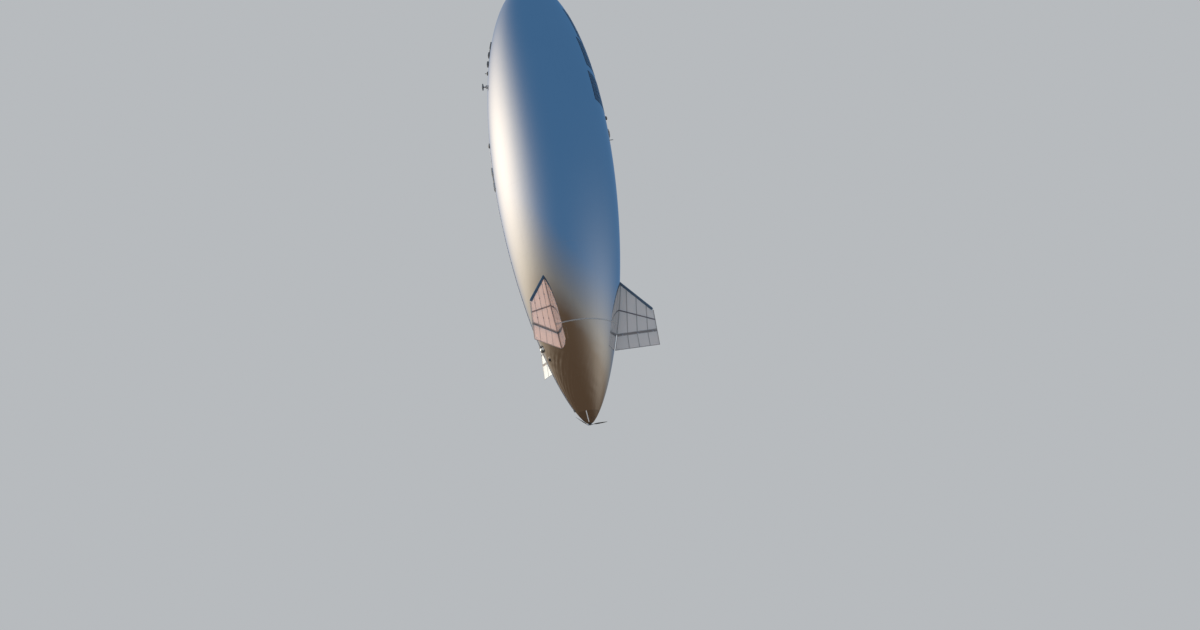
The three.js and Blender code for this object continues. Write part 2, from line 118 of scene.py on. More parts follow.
def seat(station, azimuth, lift=0.0, across=0.0):
    """A place on the skin: local Z out of the hull, local Y forward along it, local X across."""
    if across:
        azimuth = azimuth + across / float(hull_radius(station))
    tilt = math.atan(float(hull_slope(station)))
    turn = Matrix.Rotation(azimuth, 3, "Z")
    out = turn @ Vector((math.cos(tilt), 0, -math.sin(tilt)))
    forward = turn @ Vector((math.sin(tilt), 0, math.cos(tilt)))
    sideways = forward.cross(out)
    place = Matrix((sideways, forward, out)).transposed().to_4x4()
    place.translation = Vector(on_skin(station, azimuth, lift))
    return place


# Shapes are pairs of points and faces
def loft(rings, closed=False):
    """A closed skin through rings of points, ended by flat caps or joined up with itself."""
    rings = np.asarray(rings, float)
    count, sides = rings.shape[:2]
    faces = []
    for ring in range(count if closed else count - 1):
        a, b = ring * sides, (ring + 1) % count * sides
        faces += [(a + i, a + (i + 1) % sides, b + (i + 1) % sides, b + i) for i in range(sides)]
    if not closed:
        faces.append(tuple(reversed(range(sides))))
        faces.append(tuple(range((count - 1) * sides, count * sides)))
    return rings.reshape(-1, 3), faces


def quilt(top, bottom):
    """A closed sheet between two grids of points that have the same rows and columns."""
    rows, columns = top.shape[:2]
    under = rows * columns
    points = np.concatenate([top.reshape(-1, 3), bottom.reshape(-1, 3)])
    faces = []
    for row in range(rows - 1):
        for column in range(columns - 1):
            a = row * columns + column
            quad = (a, a + 1, a + columns + 1, a + columns)
            faces += [quad, tuple(under + k for k in reversed(quad))]
    rim = [*range(columns), *(row * columns + columns - 1 for row in range(1, rows)),
           *((rows - 1) * columns + column for column in range(columns - 2, -1, -1)),
           *(row * columns for row in range(rows - 2, 0, -1))]
    faces += [(b, a, under + a, under + b) for a, b in zip(rim, rim[1:] + rim[:1])]
    return points, faces


def circle(radius, sides, z=0.0):
    turn = 2 * np.pi * np.arange(sides) / sides
    return np.stack([radius * np.cos(turn), radius * np.sin(turn), np.full(sides, z)], axis=-1)


def lathe(profile, sides=32):
    """A solid of revolution about local Z from [radius, height] points."""
    return loft([circle(max(radius, 0.0004), sides, z) for radius, z in profile])


def hoop(section, sides):
    """A ring about local Z, from the [radius, height] points of its section."""
    return loft([circle(radius, sides, z) for radius, z in section], closed=True)


def rounded_outline(width, length, corner, z=0.0, steps=4):
    """A rectangle's outline with round corners, in the XY plane."""
    corner = max(min(corner, width / 2 - 1e-4, length / 2 - 1e-4), 1e-4)
    points = []
    for quarter, (sx, sy) in enumerate([(1, 1), (-1, 1), (-1, -1), (1, -1)]):
        for step in range(steps + 1):
            turn = math.pi / 2 * (quarter + step / steps)
            points.append((sx * (width / 2 - corner) + corner * math.cos(turn),
                           sy * (length / 2 - corner) + corner * math.sin(turn), z))
    return np.array(points)


def box(width, length, height, edge=0.008, corner=0.02, foot=0.0):
    """A box that stands from local Z foot to height, with round corners and a round top edge."""
    rings = [rounded_outline(width, length, corner, foot)]
    for step in range(4):
        turn = math.pi / 2 * step / 3
        inset = edge * (1 - math.cos(turn))
        top = height - edge * (1 - math.sin(turn))
        rings.append(rounded_outline(width - 2 * inset, length - 2 * inset, corner - inset, top))
    return loft(rings)


def tube(path, radius, sides=10):
    """A round bar along a path. Radius may be a list with one value for each point."""
    path = np.asarray(path, float)
    radii = np.broadcast_to(radius, len(path))
    ahead = np.gradient(path, axis=0)
    ahead /= np.linalg.norm(ahead, axis=1)[:, None]
    side = np.cross(ahead[0], [0.3, 0.9, 0.31])
    rings = []
    for point, direction, size in zip(path, ahead, radii):
        side = side - direction * (side @ direction)
        side /= np.linalg.norm(side)
        other = np.cross(direction, side)
        turn = 2 * np.pi * np.arange(sides) / sides
        rings.append(point + size * (np.cos(turn)[:, None] * side + np.sin(turn)[:, None] * other))
    return loft(rings)


def bolt(radius, height):
    """A hexagon bolt head on a washer, standing on local Z 0."""
    washer = [circle(1.35 * radius, 12, z) for z in (0.0, 0.25 * height)]
    head = [circle(radius, 6, z) for z in (0.0, 0.85 * height)] + [circle(0.8 * radius, 6, height)]
    return [loft(washer), loft(head)]


class Piece:
    """One mesh object: shapes with their materials, set in the row frame."""

    def __init__(self, name, slot, body="airframe", stands_for=(), crease=32):
        self.name, self.slot, self.body = name, slot, body
        self.stands_for = stands_for
        self.crease = crease
        self.points, self.faces, self.skins, self.materials = [], [], [], []
        self.count = 0

    def add(self, shape, material, place=None):
        """Adds a shape in one material, or in a list of materials with one for each face."""
        points, faces = shape
        if place is not None:
            matrix = np.array(place)
            points = points @ matrix[:3, :3].T + matrix[:3, 3]
        skins = material if isinstance(material, list) else [material] * len(faces)
        for skin in skins:
            if skin not in self.materials:
                self.materials.append(skin)
        self.points.append(points)
        self.faces += [tuple(self.count + k for k in face) for face in faces]
        self.skins += [self.materials.index(skin) for skin in skins]
        self.count += len(points)

    def add_all(self, shapes, material, place=None):
        for shape in shapes:
            self.add(shape, material, place)

    def bolts(self, radius, height, place, spots, washer=True):
        for spot in spots:
            self.add_all(bolt(radius, height)[0 if washer else 1:], STEEL, place @ spot)

    def skin_bolts(self, count, station, radius, height, lift):
        """A ring of bolts round the hull."""
        for index in range(count):
            turn = 2 * math.pi * (index + 0.5) / count
            self.add_all(bolt(radius, height), STEEL, seat(station, turn, lift))

    def make(self):
        mesh = bpy.data.meshes.new(self.name)
        mesh.from_pydata(np.concatenate(self.points).tolist(), [], self.faces)
        for material in self.materials:
            mesh.materials.append(material)
        mesh.polygons.foreach_set("material_index", self.skins)
        mesh.polygons.foreach_set("use_smooth", [True] * len(self.faces))
        work = bmesh.new()
        work.from_mesh(mesh)
        bmesh.ops.recalc_face_normals(work, faces=work.faces)
        work.to_mesh(mesh)
        work.free()
        mesh.set_sharp_from_angle(angle=math.radians(self.crease))
        made = bpy.data.objects.new(self.name, mesh)
        bpy.context.scene.collection.objects.link(made)
        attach(made, self.body)
        if self.stands_for:
            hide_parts(*self.stands_for)
        return made


class Finish:
    """A node-based material, with short ways to lay its nodes."""

    def __init__(self, name, **uniform):
        self.material = bpy.data.materials.new(name)
        self.material.use_nodes = True
        self.tree = self.material.node_tree
        self.shader = self.tree.nodes["Principled BSDF"]
        for socket, value in uniform.items():
            self.shader.inputs[socket.replace("_", " ")].default_value = value
        self.place = self.node("ShaderNodeTexCoord").outputs["Object"]

    def node(self, kind, **settings):
        made = self.tree.nodes.new(kind)
        for name, value in settings.items():
            setattr(made, name, value)
        return made

    def feed(self, socket, value):
        if isinstance(value, bpy.types.NodeSocket):
            self.tree.links.new(value, socket)
        else:
            socket.default_value = value

    def math(self, operation, *values):
        made = self.node("ShaderNodeMath", operation=operation)
        for socket, value in zip(made.inputs, values):
            self.feed(socket, value)
        return made.outputs[0]

    def axes(self):
        parts = self.node("ShaderNodeSeparateXYZ")
        self.feed(parts.inputs[0], self.place)
        return parts.outputs

    def reach(self, x, y):
        """The distance from the Z axis."""
        return self.math("SQRT", self.math("ADD", self.math("POWER", x, 2.0), self.math("POWER", y, 2.0)))

    def noise(self, scale, detail=3.0, stretch=(1, 1, 1), distortion=0.0):
        mapping = self.node("ShaderNodeMapping")
        self.feed(mapping.inputs["Vector"], self.place)
        mapping.inputs["Scale"].default_value = stretch
        made = self.node("ShaderNodeTexNoise")
        self.feed(made.inputs["Vector"], mapping.outputs[0])
        made.inputs["Scale"].default_value = scale
        made.inputs["Detail"].default_value = detail
        made.inputs["Distortion"].default_value = distortion
        return made.outputs["Fac"]

    def between(self, value, low, high, to_low=0.0, to_high=1.0):
        made = self.node("ShaderNodeMapRange", interpolation_type="SMOOTHSTEP")
        for socket, number in zip(made.inputs, (value, low, high, to_low, to_high)):
            self.feed(socket, number)
        return made.outputs[0]

    def blend(self, factor, first, second):
        """A colour from first to second as the factor goes from 0 to 1."""
        made = self.node("ShaderNodeMix", data_type="RGBA")
        self.feed(made.inputs[0], factor)
        for socket, value in ((made.inputs[6], first), (made.inputs[7], second)):
            self.feed(socket, value if isinstance(value, bpy.types.NodeSocket) else (*value, 1.0))
        return made.outputs[2]

    def colour(self, value):
        self.feed(self.shader.inputs["Base Color"], value)

    def roughness(self, value):
        self.feed(self.shader.inputs["Roughness"], value)

    def bump(self, height, distance, strength=1.0, under=None):
        made = self.node("ShaderNodeBump")
        made.inputs["Strength"].default_value = strength
        made.inputs["Distance"].default_value = distance
        self.feed(made.inputs["Height"], height)
        if under is not None:
            self.feed(made.inputs["Normal"], under)
        return made.outputs["Normal"]

    def relief(self, normal):
        self.feed(self.shader.inputs["Normal"], normal)

    def uneven_gloss(self, pattern, low, high):
        """Roughness from low to high over a pattern of noise."""
        self.roughness(self.between(pattern, 0.3, 0.7, low, high))

    def emission(self, colour, strength=1.0):
        made = self.node("ShaderNodeEmission")
        self.feed(made.inputs["Color"], colour)
        self.feed(made.inputs["Strength"], strength)
        return made

    def mixed(self, factor, first, second):
        made = self.node("ShaderNodeMixShader")
        for socket, value in zip(made.inputs, (factor, first.outputs[0], second.outputs[0])):
            self.feed(socket, value)
        return made

    def surface(self, shader):
        self.feed(self.tree.nodes["Material Output"].inputs["Surface"], shader.outputs[0])

    def near_line(self, value, spacing, half):
        """1 on lines that repeat along a value, fading out at half a line's width."""
        phase = self.math("FRACT", self.math("DIVIDE", value, spacing))
        gap = self.math("MULTIPLY", self.math("MINIMUM", phase, self.math("SUBTRACT", 1.0, phase)), spacing)
        return self.between(gap, half * 0.75, half * 1.05, 1.0, 0.0)


# Film and tape
def station_of(finish, height):
    return finish.math("ADD", height, BUOYANCY_STATION)


def seam_mask(finish):
    """1 on the tapes along the gores and round the panel seams."""
    x, y, z = finish.axes()
    radius = finish.reach(x, y)
    turn = finish.math("DIVIDE", finish.math("ARCTAN2", y, x), 2 * math.pi / GORES)
    phase = finish.math("FRACT", finish.math("ADD", turn, 2.0 * GORES))
    nearest = finish.math("MINIMUM", phase, finish.math("SUBTRACT", 1.0, phase))
    gap = finish.math("MULTIPLY", finish.math("MULTIPLY", nearest, 2 * math.pi / GORES), radius)
    gores = finish.between(gap, TAPE_WIDTH * 0.42, TAPE_WIDTH * 0.5, 1.0, 0.0)
    along = finish.math("ADD", station_of(finish, z), 4 * PANEL_SEAM_SPACING - SEAM)
    rings = finish.near_line(along, PANEL_SEAM_SPACING, TAPE_WIDTH * 0.5)
    return finish.math("MAXIMUM", gores, rings)


# Where the thin tail film hangs loose on the belly side: stations, x, and how deep it creases
LOOSE_STATIONS = (4.0, 5.4)
LOOSE_SIDE = (-0.9, 0.2)
LOOSE_DEPTH = 0.025


def film_finish():
    finish = Finish("metallised_film", Metallic=1.0)
    tapes = seam_mask(finish)
    clouds = finish.noise(0.35, 4.0)
    tone = finish.blend(clouds, (0.693, 0.705, 0.716), (0.724, 0.728, 0.732))
    finish.colour(finish.blend(finish.math("MULTIPLY", tapes, 0.25), tone, (0.616, 0.631, 0.647)))
    smudge = finish.between(finish.noise(1.7, 6.0, stretch=(1, 1, 0.5)), 0.35, 0.8, 0.075, 0.125)
    finish.roughness(finish.math("ADD", smudge, finish.math("MULTIPLY", tapes, 0.05)))
    puckers = finish.bump(finish.noise(2.2, 3.0, stretch=(1, 1, 0.55), distortion=0.4), 0.004, 0.35)
    fine = finish.bump(finish.noise(26.0, 3.0), 0.0007, 0.25, under=puckers)
    x, _, z = finish.axes()
    loose = finish.math("MULTIPLY", finish.between(station_of(finish, z), *LOOSE_STATIONS, 1.0, 0.0),
                        finish.between(x, *LOOSE_SIDE, 1.0, 0.0))
    creases = finish.noise(2.4, 2.0, stretch=(1, 1, 0.35), distortion=0.6)
    slack = finish.bump(finish.math("MULTIPLY", creases, loose), LOOSE_DEPTH, 0.6, under=fine)
    finish.relief(finish.bump(tapes, 0.0008, 0.6, under=slack))
    return finish.material


def tape_finish(name, low, high, metallic, rough):
    finish = Finish(name, Metallic=metallic)
    weave = finish.noise(90.0, 2.0)
    finish.colour(finish.blend(finish.noise(3.0, 4.0), low, high))
    finish.uneven_gloss(weave, *rough)
    finish.relief(finish.bump(weave, 0.0008, 0.5))
    return finish.material


# Hard finishes
def painted_finish(name, low, high, rough=(0.38, 0.55), grain=140.0, metallic=0.0):
    """Satin paint: a slow change of tone, fine orange peel and worn, uneven gloss."""
    finish = Finish(name, Metallic=metallic)
    finish.colour(finish.blend(finish.between(finish.noise(3.1, 6.0), 0.3, 0.7), low, high))
    finish.roughness(finish.between(finish.noise(9.0, 5.0), 0.3, 0.75, *rough))
    finish.relief(finish.bump(finish.noise(grain, 3.0), 0.0006, 0.3))
    return finish.material


def metal_finish(name, low, high, rough=(0.24, 0.4)):
    finish = Finish(name, Metallic=1.0)
    brushed = finish.noise(40.0, 4.0, stretch=(1, 1, 14))
    finish.colour(finish.blend(brushed, low, high))
    finish.uneven_gloss(brushed, *rough)
    finish.relief(finish.bump(brushed, 0.0003, 0.25))
    return finish.material


def carbon_finish():
    """Woven carbon under a satin coat."""
    finish = Finish("carbon_weave", Coat_Weight=0.35, Coat_Roughness=0.22)
    x, y, z = finish.axes()
    tow = 0.012
    warp = finish.math("FRACT", finish.math("DIVIDE", finish.math("ADD", x, z), 2 * tow))
    slant = finish.math("SUBTRACT", finish.math("ADD", y, z), x)
    weft = finish.math("FRACT", finish.math("DIVIDE", slant, 2 * tow))
    over = finish.math("GREATER_THAN", finish.math("ADD", warp, weft), 1.0)
    finish.colour(finish.blend(over, (0.016, 0.017, 0.019), (0.034, 0.036, 0.040)))
    finish.uneven_gloss(finish.noise(7.0, 4.0), 0.34, 0.5)
    finish.relief(finish.bump(over, 0.0004, 0.25))
    return finish.material


def cell_finish():
    """Thin film cells: dark blue-black, fine light lines between cells and finer busbars."""
    finish = Finish("solar_cell_film", Metallic=0.0, Coat_Weight=0.45, Coat_Roughness=0.12)
    cell = 0.105
    x, y, z = finish.axes()
    across = finish.math("MULTIPLY", finish.math("ARCTAN2", y, x), finish.reach(x, y))
    across = finish.math("ADD", across, 40 * cell)
    along = finish.math("ADD", z, 200 * cell)
    columns, rows = (finish.near_line(value, cell, 0.0022) for value in (across, along))
    grid = finish.math("MAXIMUM", columns, rows)
    busbars = finish.near_line(across, cell / 4, 0.0008)
    tone = finish.blend(finish.noise(5.0, 3.0), (0.010, 0.017, 0.036), (0.018, 0.028, 0.055))
    tone = finish.blend(finish.math("MULTIPLY", busbars, 0.25), tone, (0.30, 0.32, 0.34))
    finish.colour(finish.blend(finish.math("MULTIPLY", grid, 0.55), tone, (0.22, 0.25, 0.30)))
    finish.uneven_gloss(finish.noise(14.0, 3.0), 0.24, 0.36)
    finish.relief(finish.bump(grid, 0.0006, 0.5))
    return finish.material


def fin_cloth_finish(name, face, through):
    """Thin skin, cool on its face, that lets the warm light behind it glow through."""
    finish = Finish(name)
    weave = finish.noise(120.0, 2.0)
    patches = finish.noise(1.1, 5.0)
    finish.colour(finish.blend(patches, tuple(0.95 * c for c in face), tuple(1.05 * c for c in face)))
    finish.uneven_gloss(weave, 0.46, 0.62)
    slack = finish.bump(finish.noise(2.6, 3.0, stretch=(1, 1, 0.6)), 0.006, 0.5)
    finish.relief(finish.bump(weave, 0.0005, 0.4, under=slack))
    glow = finish.node("ShaderNodeBsdfTranslucent")
    tint = finish.blend(patches, tuple(0.97 * c for c in through), tuple(1.03 * c for c in through))
    finish.feed(glow.inputs["Color"], tint)
    finish.surface(finish.mixed(0.35, finish.shader, glow))
    return finish.material


def lens_finish(name, colour):
    finish = Finish(name, Coat_Weight=0.8, Coat_Roughness=0.05, Transmission_Weight=0.35)
    finish.colour(finish.blend(finish.noise(30.0, 2.0), colour, tuple(0.6 * c for c in colour)))
    finish.uneven_gloss(finish.noise(60.0, 2.0), 0.10, 0.18)
    return finish.material


FILM = film_finish()
SEAM_TAPE = tape_finish("seam_tape", (0.47, 0.49, 0.51), (0.53, 0.55, 0.57), 0.6, (0.28, 0.38))
DOUBLER = tape_finish("film_doubler", (0.63, 0.643, 0.655), (0.678, 0.685, 0.693), 1.0, (0.13, 0.19))
SPLIT_TAPE = tape_finish("split_line_tape", (0.58, 0.57, 0.56), (0.66, 0.65, 0.64), 0.0, (0.35, 0.5))
COVER_FILM = tape_finish("cover_film", (0.60, 0.61, 0.62), (0.66, 0.67, 0.68), 0.85, (0.22, 0.32))
CARBON = carbon_finish()
CELLS = cell_finish()
# The cloths over the ribs and the main spar are the bay cloth made darker on its face and in its glow:
# painted shade of the ribs and spar inside the skin.
FIN_CLOTHS = [  # on the bays, then over ribs and over the main spar with painted shade
    fin_cloth_finish("fin_cloth", (0.615, 0.710, 0.780), (0.850, 0.600, 0.470)),
    fin_cloth_finish("fin_cloth_painted_rib_shade", (0.310, 0.360, 0.400), (0.600, 0.430, 0.350)),
    fin_cloth_finish("fin_cloth_painted_spar_shade", (0.150, 0.167, 0.215), (0.420, 0.320, 0.265)),
]
CONE_SKIN = painted_finish("cone_film", (0.54, 0.55, 0.56), (0.60, 0.61, 0.62), (0.13, 0.19), metallic=1.0)
LAMINATE = painted_finish("cell_backing", (0.020, 0.028, 0.044), (0.034, 0.044, 0.062), (0.4, 0.55))
BLUE = painted_finish("dark_blue_fairing", (0.048, 0.088, 0.142), (0.070, 0.115, 0.175), (0.36, 0.5))
SPAR = painted_finish("spar_wrap", (0.200, 0.193, 0.198), (0.260, 0.248, 0.252), (0.45, 0.6))
DOT = painted_finish("lacing_button", (0.14, 0.065, 0.05), (0.20, 0.10, 0.08), (0.4, 0.55))
MOTOR_PAINT = painted_finish("motor_paint", (0.075, 0.070, 0.066), (0.110, 0.104, 0.098), (0.40, 0.58))
BOX_PAINT = painted_finish("equipment_paint", (0.105, 0.112, 0.120), (0.145, 0.152, 0.160), (0.40, 0.55))
LID_PAINT = painted_finish("lid_paint", (0.150, 0.160, 0.170), (0.195, 0.205, 0.215), (0.38, 0.5))
PANEL_PAINT = painted_finish("panel_paint", (0.195, 0.213, 0.235), (0.245, 0.263, 0.285), (0.38, 0.5))
PALE_PAINT = painted_finish("pale_paint", (0.44, 0.44, 0.43), (0.51, 0.51, 0.50), (0.38, 0.5))
# The pale paint made darker for lids and keel clips: painted shade, so that tops lit by the key do not glare.
SHADED_PALE_PAINT = painted_finish("pale_paint_with_painted_shade", (0.205, 0.205, 0.200), (0.255, 0.255, 0.250), (0.36, 0.48))
RUBBER = painted_finish("black_rubber", (0.014, 0.014, 0.015), (0.028, 0.028, 0.029), (0.6, 0.78))
# White moulding, used only as the blower's middle, where it stands in for a glint: painted highlight.
GLINT_WHITE = painted_finish("white_moulding_painted_glint", (0.76, 0.77, 0.76), (0.84, 0.85, 0.84), (0.3, 0.42))
ALLOY = metal_finish("satin_alloy", (0.55, 0.57, 0.59), (0.70, 0.72, 0.73))
STEEL = metal_finish("bright_bolt", (0.42, 0.43, 0.44), (0.56, 0.57, 0.58), (0.28, 0.4))
BEACON_LENS = lens_finish("beacon_lens", (0.030, 0.048, 0.085))


# Envelope
WRINKLES = [  # height in metres, waves round the hull, waves a metre along it, phase
    (0.0020, 15, 0.55, 0.3), (0.0018, -22, 0.9, 1.9), (0.0016, 37, -1.3, 4.1),
    (0.0012, -51, 1.7, 2.2), (0.0018, 9, 1.1, 5.3),
]
WRINKLED_BELOW = 5.2
GORE_BILLOW = 0.0009
CREASES = [  # of the loose film on the belly side of the tail, as above
    (0.0044, 23, 0.7, 0.9), (0.0038, -31, 1.1, 2.7), (0.0030, 38, -1.6, 4.4),
]
CREASED_TOWARDS = BELLY + math.radians(22)
# Where bonded fittings hold the film flat: station, azimuth and reach
HELD_FLAT = [(BLOWER_STATION, BLOWER_AZIMUTH, 0.46), (PORT_STATION, PORT_AZIMUTH, 0.32), (0.96, BELLY, 0.20)]


def ramp(value, low, high):
    share = np.clip((value - low) / (high - low), 0, 1)
    return share * share * (3 - 2 * share)


def arc_length(station, turn):
    return hull_radius(station) * (np.mod(turn + np.pi, 2 * np.pi) - np.pi)


def looseness(station, azimuth):
    """1 where the tail film is free to crease, 0 on the other side and on bonded fittings."""
    loose = ramp(np.cos(azimuth - CREASED_TOWARDS), 0.25, 0.85) * ramp(4.9 - station, 0, 1.1)
    loose = loose * ramp(station, 0.8, 1.2)
    loose = loose * ramp(np.abs(arc_length(station, azimuth - BELLY)), 0.05, 0.20)
    for place, angle, reach in HELD_FLAT:
        gap = np.hypot(station - place, arc_length(station, azimuth - angle))
        loose = loose * ramp(gap, 0.75 * reach, 1.3 * reach)
    return loose


def skin_relief(station, azimuth):
    """How far the film stands off its ideal outline: gores billow, and the thin tail wrinkles."""
    phase = np.mod(azimuth * GORES / (2 * np.pi), 1.0)
    billow = GORE_BILLOW * (4 * phase * (1 - phase) - 0.6)
    slack = np.clip(1 - station / WRINKLED_BELOW, 0, 1) ** 0.8 + 0.06
    side = 0.55 + 0.45 * np.cos(azimuth - BELLY - math.radians(25))
    drift = 1.4 * np.sin(3 * azimuth + 1.9 * station) + 1.0 * np.sin(5 * azimuth - 3.1 * station + 2.0)
    folds, creases = [sum(height * np.sin(around * azimuth + 2 * np.pi * along * station + start + drift)
                          for height, around, along, start in waves) for waves in (WRINKLES, CREASES)]
    return billow + slack * side * folds + looseness(station, azimuth) * creases


def envelope_shell(stations, inner_stations):
    """A thin closed shell of revolution: the fine outer skin and a plain inner one."""
    azimuth = 2 * np.pi * np.arange(SIDES) / SIDES
    rings = [on_skin(station, azimuth, skin_relief(station, azimuth)) for station in stations]
    rings += [on_skin(station, azimuth, -WALL) for station in reversed(inner_stations)]
    return loft(rings, closed=True)


def girdle(station, half, thickness, azimuth=None):
    """A band round the hull, or over a range of azimuths, with eased edges."""
    closed = azimuth is None
    if closed:
        azimuth = 2 * np.pi * np.arange(SIDES) / SIDES
    edge = min(0.006, half / 3)
    outline = [(-half, -0.004), (-half, 0.3 * thickness), (-half + edge, thickness), (half - edge, thickness),
               (half, 0.3 * thickness), (half, -0.004)]
    rings = [[on_skin(station + along, turn, lift) for along, lift in outline] for turn in azimuth]
    return loft(rings, closed=closed)


def build_envelope():
    tail_rows = np.linspace(TAIL_RING, SEAM - FACE_GAP, 96)
    tail = Piece("envelope_tail_film", "envelope_film", stands_for=["envelope_tail"])
    tail.add(envelope_shell(tail_rows, np.linspace(TAIL_RING, SEAM - FACE_GAP, 14)), FILM)
    tail.make()
    eased = np.sin(np.linspace(0, np.pi / 2, 262))
    hull_rows = SEAM + (NOSE_RING - SEAM) * eased
    hull = Piece("envelope_hull_film", "envelope_film", stands_for=["envelope_hull"])
    inner = SEAM + (NOSE_RING - SEAM) * np.sin(np.linspace(0, np.pi / 2, 24))
    hull.add(envelope_shell(hull_rows, inner), FILM)
    hull.make()
    band = Piece("seam_band_tape", "seam_tape", stands_for=["seam_band"])
    band.add(girdle(SEAM, 0.035, 0.006), SEAM_TAPE)
    for offset in (-0.024, 0.024):
        band.add(girdle(SEAM + offset, 0.0035, 0.0075), SEAM_TAPE)
    band.make()


# Nose
SPINDLE_STATION = 32.4863


def build_nose():
    dish = Piece("nose_dish_shell", "alloy", stands_for=["nose_dish"])
    stations = NOSE_RING + FACE_GAP + (HULL_LENGTH - NOSE_RING) * 0.93 * np.sin(np.linspace(0, np.pi / 2, 14))
    pad = 0.18
    top = 32.486 - BUOYANCY_STATION
    outside = [(float(hull_radius(s)), s - BUOYANCY_STATION) for s in stations]
    outside = [p for p in outside if p[0] > pad + 0.02 and p[1] < top]
    profile = [*outside, (pad + 0.01, top - 0.002), (pad, top), (0.0, top), (0.0, top - 0.014),
               (outside[0][0] - 0.02, outside[0][1] + 0.001)]
    dish.add(lathe(profile, SIDES // 2), ALLOY)
    for index in range(GORES):
        turn = 2 * math.pi * index / GORES
        rib = [on_skin(s, turn, 0.004) for s in stations[1:-2]]
        dish.add(tube(rib, 0.009, 8), ALLOY)
    dish.skin_bolts(2 * GORES, NOSE_RING + 0.022, 0.009, 0.008, 0.001)
    dish.make()
    spindle = Piece("nose_spindle_turned", "alloy", stands_for=["nose_spindle"])
    place = up_axis(SPINDLE_STATION)
    profile = [(0, 0), (0.166, 0), (0.168, 0.003), (0.168, 0.019), (0.165, 0.022), (0.098, 0.026),
               (0.07, 0.034), (0.058, 0.05), (0.052, 0.07), (0.050, 0.132), (0.054, 0.144), (0.072, 0.152),
               (0.078, 0.158), (0.078, 0.189), (0.0755, 0.1935), (0, 0.1935)]
    spindle.add(lathe(profile, 64), ALLOY, place)
    spindle.bolts(0.011, 0.009, place, ring_spots(8, 0.132, 0.0235))
    spindle.make()


# Tail cone, motor and propeller
CONE_END = 0.110
CONE_END_RADIUS = 0.166
CONE_SPLIT = math.radians(-101)
# Rings of bolts on the cone: station, how many, size
CONE_BOLTS = ((0.715, 36, 0.008), (0.190, 16, 0.007))
MOTOR_FACE = 0.050
MOTOR_RADIUS = 0.100
HUB_RADIUS = 0.088
PROPELLER_TURN = math.radians(-8)
BLADE_PIN_REACH = 0.130
BLADE_PIN_STATION = 0.020
BLADE_FOLD = math.radians(42)
# The hub's forks: half the slot, half a cheek's thickness, and the cheek's radius round the pin
FORK_SLOT_HALF = 0.0124
CHEEK_HALF = 0.0065
CHEEK_RADIUS = 0.024


def build_tail_cone():
    cone = Piece("tail_cone_fairing", "composite", stands_for=["tail_cone"])
    stations = np.linspace(0.150, TAIL_RING - FACE_GAP, 26)
    outside = [(float(hull_radius(s)), s) for s in stations]
    inside = [(radius - 0.014, station + 0.004) for radius, station in outside[:-1:5]]
    inside.append((outside[-1][0] - 0.018, outside[-1][1]))
    profile = [(0.0, CONE_END), (CONE_END_RADIUS - 0.006, CONE_END), (CONE_END_RADIUS, CONE_END + 0.003),
               *outside, *reversed(inside), (0.0, inside[0][1])]
    cone.add(lathe(profile, 96), CONE_SKIN, up_axis(0))
    for station, count, size in CONE_BOLTS:
        cone.skin_bolts(count, station, size, 0.006, 0.0005)
    strip = ((-0.030, -0.003), (-0.028, 0.0035), (0.028, 0.0035), (0.030, -0.003))
    for turn in (CONE_SPLIT, CONE_SPLIT + math.pi):
        rings = []
        for station in np.linspace(0.155, 0.742, 22):
            radius = float(hull_radius(station))
            rings.append([on_skin(station, turn + across / radius, lift) for across, lift in strip])
        cone.add(loft(rings), SPLIT_TAPE)
    for index in range(6):
        turn = CONE_SPLIT + math.pi / 6 + 2 * math.pi * index / 6
        for slot in range(4):
            place = seat(0.27 + 0.035 * slot, turn, 0.0)
            cone.add(box(0.09, 0.010, 0.003, 0.001, 0.004, foot=-0.004), RUBBER, place)
    cone.make()

    motor = Piece("tail_motor_case", "equipment", stands_for=["tail_motor"])
    profile = [(0.0, 0.092), (0.0255, 0.092), (0.0255, MOTOR_FACE + 0.002), (0.028, MOTOR_FACE),
               (MOTOR_RADIUS - 0.014, MOTOR_FACE), (MOTOR_RADIUS - 0.010, MOTOR_FACE + 0.003)]
    for index in range(6):
        low = MOTOR_FACE + 0.008 + 0.0075 * index
        profile += [(MOTOR_RADIUS - 0.008, low), (MOTOR_RADIUS, low + 0.0015), (MOTOR_RADIUS, low + 0.004),
                    (MOTOR_RADIUS - 0.008, low + 0.0055)]
    seat_station = CONE_END - FACE_GAP
    profile += [(MOTOR_RADIUS - 0.004, 0.1085), (MOTOR_RADIUS - 0.004, seat_station), (0.0, seat_station)]
    motor.add(lathe(profile, 48), MOTOR_PAINT, up_axis(0))
    motor.make()


